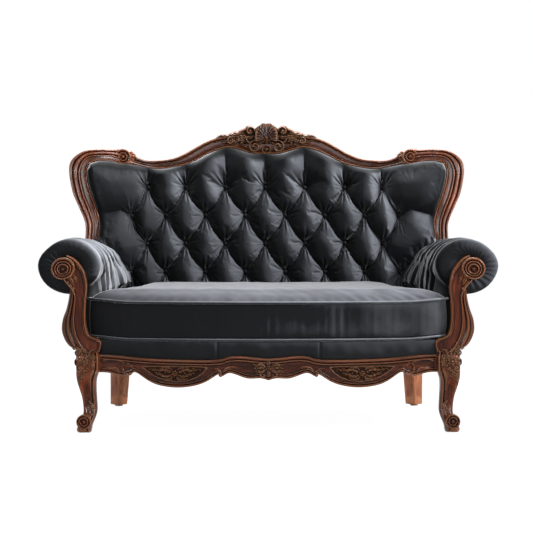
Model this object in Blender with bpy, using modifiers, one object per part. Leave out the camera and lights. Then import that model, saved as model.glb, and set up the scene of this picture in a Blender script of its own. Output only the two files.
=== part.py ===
# A two-seat chesterfield with a carved walnut show frame: scrolled arms, a winged and
# diamond-tufted back, a loose boxed seat cushion on sinuous springs, and carved front legs.
# Metres. X runs to the right as seen from the front, Y to the rear, Z up. The origin is on
# the floor under the middle of the sofa. The right side is modelled and side = -1 mirrors it.
import math

import bmesh
import bpy
import mathutils
import numpy as np

# Clearance between pieces that touch, and between curved pieces that only lie close
GAP = 0.0003
SLACK = 0.0030

# Feet and legs
GLIDE_HEIGHT = 0.006
FRONT_GLIDE_HEIGHT = 0.002
GLIDE_RADIUS = 0.016
FRONT_GLIDE_OUT = 0.012
FRONT_GLIDE_BACK = 0.030
LEG_X = 0.634
LEG_FRONT_Y = -0.392
LEG_WIDTH = 0.080
LEG_DEPTH = 0.075
LEG_TOP = 0.300
REAR_LEG_X = 0.568
REAR_LEG_Y = 0.242
REAR_LEG_SPLAY = 0.050
REAR_LEG_LEAN = 0.012
REAR_LEG_TOP_SIDE = 0.058
REAR_LEG_FOOT_SIDE = 0.044

# Apron and seat rails
APRON_Y = -0.430
APRON_BOW = 0.066
APRON_THICKNESS = 0.026
APRON_FIELD = 0.004
APRON_BEAD = 0.012
APRON_STATIONS = 45
RAIL_BOTTOM = 0.215
RAIL_HEIGHT = 0.042
RAIL_WIDTH = 0.028
SIDE_RAIL_HEIGHT = 0.070
SIDE_RAIL_WIDTH = 0.040
REAR_RAIL_Y = 0.235
BRACE_WIDTH = 0.060
BRACE_HEIGHT = 0.030
CORNER_BLOCK_LEG = 0.070
CORNER_BLOCK_HEIGHT = 0.035
CORNER_BLOCK_RISE = 0.008
COVER_MARGIN = 0.004
COVER_SIDE_MARGIN = 0.010
COVER_THICKNESS = 0.0015

# Springs, deck and seat cushion
SPRING_COUNT = 5
SPRING_SPACING = 0.205
SPRING_WIRE = 0.0038
SPRING_SWING = 0.024
SPRING_BENDS = 12
CLIP_THICKNESS = 0.002
CLIP_WIDTH = 0.015
DECK_TOP = 0.322
DECK_THICKNESS = 0.032
BORDER_DEPTH = 0.034
BORDER_PROUD = 0.003
CUSHION_HEIGHT = 0.134
CUSHION_CROWN = 0.036
CUSHION_OVERHANG = 0.006
CUSHION_SIDE_GAP = 0.0015
CUSHION_REAR_Y = 0.150
CUSHION_END_LIFT = 0.009
CUSHION_LIFT_START = 0.480
CUSHION_LIFT_RUN = 0.150
CUSHION_CORNER = 0.020
CUSHION_REAR_CORNER = 0.040
CUSHION_DRAW_IN = 0.006
PIPING_RADIUS = 0.0045

# Arms: the roll's centre, its half width and its half height at the front and at the rear
ARM_FRONT_Y = -0.352
ARM_REAR_Y = 0.140
ROLL_Z = 0.584
ROLL_FRONT_X = 0.695
ROLL_REAR_X = 0.647
ROLL_FRONT_RADIUS = 0.108
ROLL_REAR_RADIUS = 0.085
ROLL_FRONT_HEIGHT = 0.094
ROLL_REAR_HEIGHT = 0.071
ARM_RAIL_RADIUS = 0.038
ARM_WALL = 0.030
ARM_INNER_REAR_X = 0.526
ARM_INNER_SPLAY = 0.1625
ARM_FLARE = 0.025
ARM_ROUNDING = 0.014
ARM_PLEATS = 5
ARM_PLEAT_DEPTH = 0.010
SIDE_INSET = 0.012
SIDE_PANEL = 0.008

# Arm posts and their scrolls
POST_DEPTH = 0.036
POST_SCROLL_X = 0.712
POST_SCROLL_Z = 0.571
POST_SCROLL_RADIUS = 0.055
POST_RELIEF = 0.012
POST_FLUTE = 0.004

# Back: the front plane of the frame, how it rakes and how the wings sweep forward
BACK_Y = 0.345
BACK_Z = 1.000
BACK_RAKE = 0.237
REAR_RAKE = 0.150
BACK_DEPTH = 0.070
WING_SWEEP = 0.160
WING_START_X = 0.380
WING_FULL_X = 0.720
SWEEP_FOOT_Z = 0.220
SWEEP_FULL_Z = 0.600
REAR_KINK_Z = 0.950
PAD_BEHIND = 0.030
PANEL_THICKNESS = 0.005
BACK_POST_X = 0.590
BACK_POST_WIDTH = 0.070
STILE_WIDTH = 0.050
TACK_RAIL_Z = 0.340
TACK_RAIL_HEIGHT = 0.050
WING_DEPTH = 0.045
EAR_X = 0.562
EAR_Z = 0.972
EAR_RADIUS = 0.029
EAR_DEPTH = 0.052

# Tufting of the back
PAD_FOOT_Z = 0.330
TUFT_SPACING = 0.155
TUFT_ROW = 0.109
TUFT_TOP_Z = 0.855
TUFT_ROWS = 5
TUFT_BULGE = 0.050
TUFT_PLEAT = 0.014

# Carvings: places, and half lengths by half heights
CREST_SHELL_Z = 1.052
CREST_SHELL_RADIUS = 0.058
CREST_BOSS_Z = 1.011
CREST_BOSS_WIDTH = 0.030
CREST_BOSS_HEIGHT = 0.021
CREST_LEAF_X = 0.118
CREST_LEAF_Z = 1.035
CREST_LEAF_LENGTH = 0.072
CREST_LEAF_HEIGHT = 0.019
APRON_LEAF_X = 0.318
APRON_LEAF_Z = 0.209
APRON_LEAF_LENGTH = 0.090
APRON_LEAF_HEIGHT = 0.030
CENTRE_LEAF_Z = 0.230
CENTRE_LEAF_LENGTH = 0.050
CENTRE_LEAF_HEIGHT = 0.019
KNEE_RADIUS = 0.030
CARVING_BASE = 0.003

# Outlines as (x, z) points of the right half, which smooth curves pass through
CREST_TOP = [(0.0, 1.062), (0.12, 1.062), (0.189, 1.053), (0.235, 1.037), (0.28, 1.012),
             (0.319, 0.990), (0.365, 0.971), (0.416, 0.963), (0.479, 0.964), (0.545, 0.992)]
CREST_FOOT = [(0.0, 0.986), (0.058, 0.990), (0.137, 1.012), (0.189, 1.004), (0.234, 0.986),
              (0.28, 0.961), (0.319, 0.945), (0.364, 0.935), (0.416, 0.928), (0.46, 0.932),
              (0.498, 0.941), (0.545, 0.954)]
WING_INNER = [(0.600, 0.957), (0.640, 0.958), (0.672, 0.952), (0.687, 0.930), (0.684, 0.885),
              (0.666, 0.824), (0.646, 0.772), (0.634, 0.721), (0.637, 0.684), (0.640, 0.640)]
WING_OUTER = [(0.600, 1.002), (0.655, 1.003), (0.707, 0.993), (0.748, 0.960), (0.756, 0.915),
              (0.741, 0.838), (0.718, 0.785), (0.697, 0.738), (0.689, 0.700), (0.690, 0.640)]
APRON_TOP = [(0.0, 0.263), (0.051, 0.267), (0.086, 0.271), (0.132, 0.270), (0.19, 0.258),
             (0.36, 0.259), (0.449, 0.263), (0.53, 0.270), (0.60, 0.273)]
APRON_FOOT = [(0.0, 0.186), (0.028, 0.193), (0.075, 0.193), (0.132, 0.211), (0.161, 0.200),
              (0.175, 0.206), (0.218, 0.180), (0.263, 0.165), (0.318, 0.159), (0.375, 0.165),
              (0.416, 0.180), (0.462, 0.211), (0.480, 0.205), (0.543, 0.206), (0.60, 0.217)]

# Front leg: share of its height, inner and outer edge from its axis, front and depth
LEG_PROFILE = [(0.00, -0.008, 0.033, -0.022, 0.066), (0.06, -0.008, 0.047, -0.032, 0.084),
               (0.12, -0.013, 0.048, -0.026, 0.078), (0.19, -0.019, 0.026, -0.004, 0.058),
               (0.30, -0.024, 0.024, 0.012, 0.048), (0.42, -0.023, 0.030, 0.014, 0.052),
               (0.54, -0.024, 0.041, 0.006, 0.062), (0.64, -0.029, 0.045, -0.002, 0.070),
               (0.72, -0.038, 0.045, -0.003, 0.073), (0.76, -0.040, 0.040, 0.000, 0.075)]

# Arm post: share of the height from the leg to its scroll, inner and outer edge
POST_PROFILE = [(0.00, 0.603, 0.688), (0.06, 0.612, 0.702), (0.14, 0.630, 0.718),
                (0.25, 0.638, 0.724), (0.36, 0.641, 0.719), (0.48, 0.641, 0.709),
                (0.60, 0.639, 0.699), (0.72, 0.636, 0.695), (0.82, 0.638, 0.700),
                (0.90, 0.645, 0.712)]

RAIL_TOP = RAIL_BOTTOM + RAIL_HEIGHT
SIDE_RAIL_TOP = RAIL_BOTTOM + SIDE_RAIL_HEIGHT
DECK_BOTTOM = DECK_TOP - DECK_THICKNESS
ARM_FOOT_Z = LEG_TOP + GAP
POST_FRONT = PAD_BEHIND + SLACK


# Setting up the scene

def clear_scene():
    for item in list(bpy.data.objects):
        bpy.data.objects.remove(item, do_unlink=True)


def new_collection(name):
    collection = bpy.data.collections.new(name)
    bpy.context.scene.collection.children.link(collection)
    return collection


def finish(name, colour, roughness, metallic=0.0):
    material = bpy.data.materials.new(name)
    material.use_nodes = True
    shader = material.node_tree.nodes["Principled BSDF"]
    shader.inputs["Base Color"].default_value = (*colour, 1.0)
    shader.inputs["Roughness"].default_value = roughness
    shader.inputs["Metallic"].default_value = metallic
    return material


clear_scene()
SOFA = new_collection("chesterfield_sofa")
CUTTERS = new_collection("cutters")
WALNUT = (0.115, 0.040, 0.018)
BEECH = (0.420, 0.270, 0.150)
VELVET = (0.030, 0.030, 0.033)
LINING = (0.012, 0.012, 0.013)
STEEL = (0.350, 0.350, 0.360)


# Modelling helpers

def smooth(share):
    share = np.clip(share, 0.0, 1.0)
    return share * share * (3.0 - 2.0 * share)


def through(points, count):
    # A smooth curve through the points, as count points evenly spread over them
    knots = np.array(points, float)
    place = np.linspace(0.0, len(knots) - 1.0, count)
    start = np.minimum(place.astype(int), len(knots) - 2)
    t = (place - start)[:, None]
    before, after = knots[np.maximum(start - 1, 0)], knots[np.minimum(start + 2, len(knots) - 1)]
    here, there = knots[start], knots[start + 1]
    leave, arrive = (there - before) / 2.0, (after - here) / 2.0
    return (here * (2 * t**3 - 3 * t**2 + 1) + leave * (t**3 - 2 * t**2 + t)
            + there * (3 * t**2 - 2 * t**3) + arrive * (t**3 - t**2))


def height_on(points, x):
    # The height at x of the smooth curve through (x, z) points
    curve = through(points, 12 * len(points))
    return np.interp(abs(x), curve[:, 0], curve[:, 1])


def dress(item, name, colour, roughness=0.45, metallic=0.0):
    item.name = name
    item.data.name = name
    item.data.materials.clear()
    item.data.materials.append(finish(name, colour, roughness, metallic))
    if item.type == "MESH":
        item.data.shade_smooth()
        item.data.set_sharp_from_angle(angle=math.radians(40.0))
    for collection in list(item.users_collection):
        collection.objects.unlink(item)
    SOFA.objects.link(item)
    return item


def mesh_piece(name, points, faces, colour, roughness=0.45, metallic=0.0):
    mesh = bpy.data.meshes.new(name)
    mesh.from_pydata([tuple(map(float, point)) for point in points], [], faces)
    shape = bmesh.new()
    shape.from_mesh(mesh)
    bmesh.ops.recalc_face_normals(shape, faces=shape.faces)
    shape.to_mesh(mesh)
    shape.free()
    return dress(bpy.data.objects.new(name, mesh), name, colour, roughness, metallic)


def loft(name, rings, colour, roughness=0.45, metallic=0.0):
    # One closed skin over rings of equally many points, with a flat cap at each end
    rings = np.array(rings, float)
    count, size = rings.shape[:2]
    faces = [list(range(size))[::-1], list(range((count - 1) * size, count * size))]
    for ring in range(count - 1):
        for k in range(size):
            a, b = ring * size + k, ring * size + (k + 1) % size
            faces.append([a, b, b + size, a + size])
    return mesh_piece(name, rings.reshape(-1, 3), faces, colour, roughness, metallic)


def slab(name, x, front, rear, z, colour, roughness):
    # A sheet between two faces given on one grid of columns (second axis) and rows
    rows, columns = x.shape
    index = np.arange(x.size).reshape(rows, columns)
    points = np.vstack([np.column_stack([x.ravel(), y.ravel(), z.ravel()]) for y in (front, rear)])
    edge = np.concatenate([index[0], index[1:, -1], index[-1, -2::-1], index[-2:0:-1, 0]])
    quads = np.stack([index[:-1, :-1], index[:-1, 1:], index[1:, 1:], index[1:, :-1]], axis=-1)
    quads = quads.reshape(-1, 4)
    after = np.roll(edge, -1)
    rim = np.column_stack([edge, after, after + x.size, edge + x.size])
    faces = np.vstack([quads, quads + x.size, rim]).tolist()
    return mesh_piece(name, points, faces, colour, roughness)


def box(name, low, high, colour, bevel=0.002, roughness=0.5):
    low, high = np.array(low, float), np.array(high, float)
    bpy.ops.mesh.primitive_cube_add(size=1.0, location=(low + high) / 2.0)
    item = bpy.context.object
    item.scale = high - low
    bpy.ops.object.transform_apply(location=False, rotation=False, scale=True)
    if bevel:
        edge = item.modifiers.new("edges", "BEVEL")
        edge.width = bevel
        edge.segments = 1
    return dress(item, name, colour, roughness)


def plate(name, outline, bottom, top, colour, roughness=0.5):
    # A flat outline in plan, extruded from one height to another
    curve = bpy.data.curves.new(name, "CURVE")
    curve.dimensions = "2D"
    curve.fill_mode = "BOTH"
    curve.extrude = (top - bottom) / 2.0
    spline = curve.splines.new("POLY")
    spline.points.add(len(outline) - 1)
    for point, (x, y) in zip(spline.points, outline):
        point.co = (x, y, 0.0, 1.0)
    spline.use_cyclic_u = True
    item = bpy.data.objects.new(name, curve)
    item.location.z = (top + bottom) / 2.0
    return dress(item, name, colour, roughness)


def tube(name, points, radius, colour, roughness, metallic=0.0, sides=1, closed=False):
    curve = bpy.data.curves.new(name, "CURVE")
    curve.dimensions = "3D"
    curve.bevel_depth = radius
    curve.bevel_resolution = sides
    curve.use_fill_caps = not closed
    spline = curve.splines.new("POLY")
    spline.points.add(len(points) - 1)
    for point, place in zip(spline.points, points):
        point.co = (*map(float, place), 1.0)
    spline.use_cyclic_u = closed
    return dress(bpy.data.objects.new(name, curve), name, colour, roughness, metallic)


def relief(name, centre, reach, height, surface, rings, spokes):
    # A carving on a face: reach(t) is its outline round the centre, height(f, t) its rise
    # at share f of the way out, and surface(x, z) the face that its back lies against
    t = np.linspace(0.0, 2.0 * math.pi, spokes, endpoint=False)
    share = np.arange(1, rings + 1)[:, None] / rings
    x = np.vstack([[centre[0]], (centre[0] + share * reach(t) * np.cos(t)).reshape(-1, 1)])[:, 0]
    z = np.vstack([[centre[1]], (centre[1] + share * reach(t) * np.sin(t)).reshape(-1, 1)])[:, 0]
    rise = np.append(height(0.0, 0.0), (height(share, t) + 0.0 * t).reshape(-1))
    back = surface(x, z) - GAP
    points = np.vstack([np.column_stack([x, back - rise, z]), np.column_stack([x, back, z])])
    size = 1 + rings * spokes
    faces = []
    for base in (0, size):
        for k in range(spokes):
            after = (k + 1) % spokes
            faces.append([base, base + 1 + k, base + 1 + after])
            for ring in range(rings - 1):
                a, b = base + 1 + ring * spokes + k, base + 1 + ring * spokes + after
                faces.append([a, a + spokes, b + spokes, b])
    rim = 1 + (rings - 1) * spokes
    for k in range(spokes):
        after = (k + 1) % spokes
        faces.append([rim + k, rim + after, size + rim + after, size + rim + k])
    return mesh_piece(name, points, faces, WALNUT)


def slide_axis(name, place, pieces):
    # An empty on the joint's line, which carries the pieces that move together
    axis = bpy.data.objects.new(name, None)
    axis.location = place
    SOFA.objects.link(axis)
    for item in pieces:
        item.parent = axis
        item.matrix_parent_inverse = mathutils.Matrix.Translation(place).inverted()


def as_cutter(item):
    for collection in list(item.users_collection):
        collection.objects.unlink(item)
    CUTTERS.objects.link(item)
    item.hide_render = True
    item.display_type = "WIRE"
    return item


def boolean(item, other, operation):
    change = item.modifiers.new(operation.lower(), "BOOLEAN")
    change.operation = operation
    change.object = as_cutter(other)


# Surfaces that several pieces share

def apron_face(x):
    return APRON_Y + APRON_BOW * (abs(x) / LEG_X) ** 2


def back_plane(x, z):
    across = smooth((np.abs(x) - WING_START_X) / (WING_FULL_X - WING_START_X))
    up = smooth((z - SWEEP_FOOT_Z) / (SWEEP_FULL_Z - SWEEP_FOOT_Z))
    return BACK_Y + BACK_RAKE * (z - BACK_Z) - WING_SWEEP * across * up


def rear_plane(x, z):
    spread = (BACK_RAKE - REAR_RAKE) * np.maximum(REAR_KINK_Z - z, 0.0)
    return back_plane(x, z) + BACK_DEPTH + spread


def along_arm(y):
    return (y - ARM_FRONT_Y) / (ARM_REAR_Y - ARM_FRONT_Y)


def roll_x(y):
    return ROLL_FRONT_X + (ROLL_REAR_X - ROLL_FRONT_X) * along_arm(y)


def roll_radius(y):
    return ROLL_FRONT_RADIUS + (ROLL_REAR_RADIUS - ROLL_FRONT_RADIUS) * along_arm(y)


def roll_height(y):
    return ROLL_FRONT_HEIGHT + (ROLL_REAR_HEIGHT - ROLL_FRONT_HEIGHT) * along_arm(y)


def arm_inside(y):
    share = np.clip(1.0 - along_arm(y), 0.0, None)
    return ARM_INNER_REAR_X + ARM_INNER_SPLAY * (ARM_REAR_Y - y) + ARM_FLARE * share**4


def side_face(y):
    return roll_x(y) - SIDE_INSET


def post_face(x, z):
    # The front of the back posts; past their outer edge it is held at that edge
    return back_plane(np.minimum(x, BACK_POST_X + BACK_POST_WIDTH / 2.0), z) + POST_FRONT


def back_top(x):
    # The underside of the crest rail and of the ear scrolls
    under_crest = height_on(CREST_FOOT, np.minimum(np.abs(x), EAR_X - EAR_RADIUS))
    return np.where(np.abs(x) < EAR_X - 1.6 * EAR_RADIUS, under_crest,
                    np.minimum(under_crest, EAR_Z - EAR_RADIUS)) - SLACK


def front_rail_back(x):
    return apron_face(x) + APRON_THICKNESS + GAP + RAIL_WIDTH


# Feet and legs

def glide(name, x, y, height):
    bpy.ops.mesh.primitive_cone_add(vertices=16, radius1=GLIDE_RADIUS, radius2=0.8 * GLIDE_RADIUS,
                                    depth=height, location=(x, y, height / 2.0))
    return dress(bpy.context.object, name, STEEL, 0.35, 0.9)


def front_leg(name, side):
    # A scroll foot, a slender ankle, a full knee and a square block that the rails meet
    rings = []
    foot = FRONT_GLIDE_HEIGHT + GAP
    angles = (np.arange(12) + 0.5) / 12.0 * 2.0 * math.pi
    levels = through(LEG_PROFILE, 19)
    square = np.full(len(levels), 0.55)
    square[-3:] = (0.4, 0.3, 0.2)
    for (share, inner, outer, front, depth), power in zip(levels, square):
        c, s = np.cos(angles), np.sin(angles)
        across = np.sign(c) * np.abs(c) ** power
        along = np.sign(s) * np.abs(s) ** power
        x = LEG_X + (inner + outer) / 2.0 + across * (outer - inner) / 2.0
        y = LEG_FRONT_Y + front + depth / 2.0 + along * depth / 2.0
        rings.append([(side * a, b, foot + share * (LEG_TOP - foot)) for a, b in zip(x, y)])
    half = LEG_WIDTH / 2.0
    for z in (RAIL_BOTTOM + 0.35 * RAIL_HEIGHT, LEG_TOP):
        across = np.clip(np.cos(angles) * 1.5, -1.0, 1.0)
        along = np.clip(np.sin(angles) * 1.5, -1.0, 1.0)
        y = LEG_FRONT_Y + LEG_DEPTH / 2.0 + along * LEG_DEPTH / 2.0
        rings.append([(side * (LEG_X + half * a), b, z) for a, b in zip(across, y)])
    return loft(name, rings, WALNUT)


def rear_leg(name, side):
    # A square leg turned edge-on, which tapers and leans outwards and to the rear
    rings = []
    for share in (0.0, 1.0):
        z = GLIDE_HEIGHT + GAP + share * (RAIL_BOTTOM - GLIDE_HEIGHT - 2.0 * GAP)
        reach = (REAR_LEG_FOOT_SIDE + share * (REAR_LEG_TOP_SIDE - REAR_LEG_FOOT_SIDE)) / math.sqrt(2.0)
        x = REAR_LEG_X + (1.0 - share) * REAR_LEG_LEAN
        y = REAR_LEG_Y + (1.0 - share) * REAR_LEG_SPLAY
        rings.append([(side * x + reach * math.cos(a), y + reach * math.sin(a), z)
                      for a in (0.0, math.pi / 2.0, math.pi, 1.5 * math.pi)])
    return loft(name, rings, WALNUT)


# Seat frame

def front_apron():
    # Bowed in plan and scalloped below, with a bead along each edge and a sunk field
    rings = []
    end = LEG_X - LEG_WIDTH / 2.0 - GAP
    for x in np.linspace(-end, end, APRON_STATIONS):
        face, back = apron_face(x), apron_face(x) + APRON_THICKNESS
        top, foot = height_on(APRON_TOP, x), height_on(APRON_FOOT, x)
        rings.append([(x, back, foot), (x, face + 0.35 * APRON_FIELD, foot),
                      (x, face, foot + 0.5 * APRON_BEAD), (x, face + APRON_FIELD, foot + APRON_BEAD),
                      (x, face + APRON_FIELD, top - APRON_BEAD), (x, face, top - 0.5 * APRON_BEAD),
                      (x, face + 0.35 * APRON_FIELD, top), (x, back, top)])
    return loft("front_apron", rings, WALNUT)


def front_rail():
    end = LEG_X - LEG_WIDTH / 2.0 - GAP
    rings = [[(x, front_rail_back(x) - RAIL_WIDTH, RAIL_BOTTOM), (x, front_rail_back(x), RAIL_BOTTOM),
              (x, front_rail_back(x), RAIL_TOP), (x, front_rail_back(x) - RAIL_WIDTH, RAIL_TOP)]
             for x in np.linspace(-end, end, 15)]
    rings = [[(x, y, min(z, height_on(APRON_TOP, x) - 0.001)) for x, y, z in ring] for ring in rings]
    return loft("front_rail", rings, BEECH, 0.6)


def side_rail(name, side):
    rings = []
    front = LEG_FRONT_Y + LEG_DEPTH + GAP
    for share in (0.0, 1.0):
        ring = []
        for inward, z in ((0.0, RAIL_BOTTOM), (SIDE_RAIL_WIDTH, RAIL_BOTTOM),
                          (SIDE_RAIL_WIDTH, SIDE_RAIL_TOP), (0.0, SIDE_RAIL_TOP)):
            end = side_face(REAR_RAIL_Y) - inward
            rear = min(post_face(end, z), post_face(end, RAIL_BOTTOM)) - SLACK / 2.0
            y = front + share * (rear - front)
            ring.append((side * (side_face(y) - inward), y, z))
        rings.append(ring)
    return loft(name, rings, WALNUT)


def rear_rail():
    end = BACK_POST_X - BACK_POST_WIDTH / 2.0 - GAP
    return box("rear_rail", (-end, REAR_RAIL_Y, RAIL_BOTTOM),
               (end, REAR_RAIL_Y + RAIL_WIDTH, RAIL_TOP), BEECH)


def centre_brace():
    front = front_rail_back(BRACE_WIDTH / 2.0) + GAP
    return box("centre_brace", (-BRACE_WIDTH / 2.0, front, RAIL_BOTTOM),
               (BRACE_WIDTH / 2.0, REAR_RAIL_Y - GAP, RAIL_BOTTOM + BRACE_HEIGHT), BEECH)


def corner_block(name, side, front):
    bottom = RAIL_BOTTOM + CORNER_BLOCK_RISE
    if front:
        y = max(front_rail_back(LEG_X - LEG_WIDTH / 2.0), LEG_FRONT_Y + LEG_DEPTH) + GAP
        x = side_face(y + CORNER_BLOCK_LEG) - SIDE_RAIL_WIDTH - GAP
        corners = [(x, y), (x, y + CORNER_BLOCK_LEG), (x - CORNER_BLOCK_LEG, y)]
    else:
        x, y = BACK_POST_X - BACK_POST_WIDTH / 2.0 - GAP, REAR_RAIL_Y - GAP
        corners = [(x, y), (x - CORNER_BLOCK_LEG, y), (x, y - CORNER_BLOCK_LEG)]
    corners = [(side * a, b) for a, b in corners][::side]
    return plate(name, corners, bottom, bottom + CORNER_BLOCK_HEIGHT, BEECH)


def dust_cover():
    top = RAIL_BOTTOM - GAP
    leg_rear = LEG_FRONT_Y + LEG_DEPTH + COVER_MARGIN
    leg_inner = LEG_X - LEG_WIDTH / 2.0 - COVER_MARGIN
    leg_front = REAR_LEG_Y - REAR_LEG_TOP_SIDE / math.sqrt(2.0) - COVER_MARGIN
    rear_inner = REAR_LEG_X - REAR_LEG_TOP_SIDE / math.sqrt(2.0) - COVER_MARGIN
    half = [(x, front_rail_back(x) - COVER_SIDE_MARGIN) for x in np.linspace(0.0, leg_inner, 4)]
    half += [(leg_inner, leg_rear), (side_face(leg_rear) - COVER_SIDE_MARGIN, leg_rear),
             (side_face(leg_front) - COVER_SIDE_MARGIN, leg_front), (rear_inner, leg_front),
             (rear_inner, REAR_RAIL_Y + RAIL_WIDTH - COVER_MARGIN)]
    outline = half + [(-x, y) for x, y in half[:0:-1]]
    return plate("dust_cover", outline, top - COVER_THICKNESS, top, LINING, 0.95)


# Springs and deck

def clip_strip(name, front):
    # A folded steel strip on top of the rail, which holds the ends of the springs
    rings = []
    end = LEG_X - LEG_WIDTH / 2.0 - 0.06
    for x in np.linspace(-end, end, 13):
        near = front_rail_back(x) - CLIP_WIDTH if front else REAR_RAIL_Y
        low = (min(RAIL_TOP, height_on(APRON_TOP, x) - 0.001) if front else RAIL_TOP) + GAP
        rings.append([(x, near, low), (x, near + CLIP_WIDTH, low),
                      (x, near + CLIP_WIDTH, low + CLIP_THICKNESS), (x, near, low + CLIP_THICKNESS)])
    return loft(name, rings, STEEL, 0.35, 0.9)


def seat_spring(name, x):
    # A sinuous wire that arches from the front rail to the rear rail under the deck
    start, end = front_rail_back(x) - 0.006, REAR_RAIL_Y + 0.006
    low = RAIL_TOP + 2.0 * GAP + CLIP_THICKNESS + SPRING_WIRE / 2.0
    rise = DECK_BOTTOM - GAP - SPRING_WIRE / 2.0 - low
    share = np.linspace(0.0, 1.0, 3 * SPRING_BENDS + 1)
    swing = SPRING_SWING * np.sin(share * math.pi * SPRING_BENDS)
    points = np.column_stack([x + swing, start + share * (end - start),
                              low + rise * np.sin(math.pi * share)])
    return tube(name, points, SPRING_WIRE / 2.0, STEEL, 0.35, 0.9, sides=0)


def deck():
    front = [(x, apron_face(x) + BORDER_DEPTH + 2.0 * GAP) for x in np.linspace(0.0, 0.56, 8)]
    sides = [(min(arm_inside(y), LEG_X - LEG_WIDTH / 2.0) - 2.0 * GAP - ARM_PLEAT_DEPTH, y)
             for y in np.linspace(LEG_FRONT_Y + LEG_DEPTH, ARM_REAR_Y - 0.005, 6)]
    half = front + sides
    outline = half + [(-x, y) for x, y in half[:0:-1]]
    return plate("seat_deck", outline, DECK_BOTTOM, DECK_TOP, LINING, 0.9)


def deck_border():
    # The upholstered lip between the apron and the cushion
    rings = []
    end = LEG_X - LEG_WIDTH / 2.0 - GAP
    for x in np.linspace(-end, end, APRON_STATIONS):
        face, foot = apron_face(x) + BORDER_PROUD, height_on(APRON_TOP, x) + SLACK / 2.0
        back = apron_face(x) + BORDER_DEPTH
        middle, bulge = (foot + DECK_TOP) / 2.0, 0.006
        rings.append([(x, back, foot), (x, face + 0.004, foot), (x, face - bulge, middle - 0.010),
                      (x, face - bulge, middle + 0.010), (x, face + 0.006, DECK_TOP), (x, back, DECK_TOP)])
    return loft("deck_border", rings, VELVET, 0.9)


# Seat cushion

def cushion_outline(inset=0.0, count=48):
    # The plan of the cushion: a bowed front, flared sides beside the arms and a straight rear
    side_gap = CUSHION_SIDE_GAP + 2.0 * PIPING_RADIUS + inset
    front_y = LEG_FRONT_Y + 0.030 + inset
    half_front = arm_inside(front_y + 0.02) - side_gap
    half = [(share * half_front, apron_face(share * half_front) - CUSHION_OVERHANG
             + 2.0 * PIPING_RADIUS + inset + CUSHION_CORNER * share**12)
            for share in np.linspace(0.0, 0.94, 9)]
    half.append((half_front, apron_face(half_front) + CUSHION_CORNER + inset))
    half += [(arm_inside(y) - side_gap - ARM_PLEAT_DEPTH * smooth(5.0 * along_arm(y)), y)
             for y in np.linspace(front_y + 3.0 * CUSHION_CORNER,
                                  CUSHION_REAR_Y - inset - CUSHION_REAR_CORNER, 8)]
    corner_x, rear = half[-1][0], CUSHION_REAR_Y - inset
    half += [(corner_x - 0.3 * CUSHION_REAR_CORNER, rear - 0.35 * CUSHION_REAR_CORNER),
             (corner_x - CUSHION_REAR_CORNER, rear), (0.4 * corner_x, rear), (0.0, rear)]
    loop = np.array(half + [(-x, y) for x, y in half[-2:0:-1]])
    closed = np.vstack([loop, loop[:1]])
    length = np.append(0.0, np.cumsum(np.hypot(*np.diff(closed, axis=0).T)))
    place = np.linspace(0.0, length[-1], count, endpoint=False)
    return np.column_stack([np.interp(place, length, closed[:, k]) for k in (0, 1)])


def end_lift(x):
    return CUSHION_END_LIFT * smooth((np.abs(x) - CUSHION_LIFT_START) / CUSHION_LIFT_RUN)


def cushion_ring(inset, z, share=1.0):
    middle = np.array([0.0, (APRON_Y + CUSHION_REAR_Y) / 2.0])
    plan = middle + share * (cushion_outline(inset) - middle)
    return np.column_stack([plan, z + share**2 * end_lift(plan[:, 0])])


def seat_cushion():
    # A boxed cushion: its boxing draws in between the two pipings and its top is crowned
    low = DECK_TOP + GAP + PIPING_RADIUS
    high = low + CUSHION_HEIGHT - PIPING_RADIUS
    under = low - 0.7 * PIPING_RADIUS
    rings = [cushion_ring(0.0, under, share) for share in (0.5, 0.96)]
    rings += [cushion_ring(CUSHION_DRAW_IN * math.sin(math.pi * share), low + share * (high - low))
              for share in (0.0, 0.3, 0.7, 1.0)]
    rings += [cushion_ring(0.0, high + CUSHION_CROWN * crown, share)
              for share, crown in ((0.965, 0.35), (0.89, 0.62), (0.74, 0.85), (0.50, 0.97), (0.25, 1.0))]
    return loft("seat_cushion", rings, VELVET, 0.85)


def piping(name, top):
    low = DECK_TOP + GAP + PIPING_RADIUS
    z = low + CUSHION_HEIGHT - PIPING_RADIUS if top else low
    out = PIPING_RADIUS + 2.0 * GAP
    points = cushion_ring(-out, z)
    return tube(name, points, PIPING_RADIUS, VELVET, 0.85, closed=True)


# Arms

def arm_section(y, shrink, pleat, rail_radius=ARM_RAIL_RADIUS):
    # Round the arm's padding at one y: up the inner wall, over the roll, back round the rail
    centre, radius, height = roll_x(y), roll_radius(y) - shrink, roll_height(y) - shrink
    inside = arm_inside(y) + shrink - pleat
    start = math.pi + math.acos(min(1.0, (centre - inside) / radius)) if centre - inside < radius else math.pi
    end = -math.acos(-SIDE_INSET / radius)
    outer = [(inside, ARM_FOOT_Z), (inside, ARM_FOOT_Z + 0.45 * (ROLL_Z - ARM_FOOT_Z))]
    outer += [(centre + radius * math.cos(a), ROLL_Z + height * math.sin(a))
              for a in np.linspace(start, end, 12)]
    bore = (rail_radius + GAP) / math.cos(math.radians(20.0))
    wall = arm_inside(y) + ARM_WALL
    first = math.pi + math.acos((centre - wall) / bore) if centre - wall < bore else math.pi
    inner = [(centre + bore * math.cos(a), ROLL_Z + bore * math.sin(a))
             for a in np.linspace(end, first, 9)]
    inner.append((wall, ARM_FOOT_Z))
    return outer + inner


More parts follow.
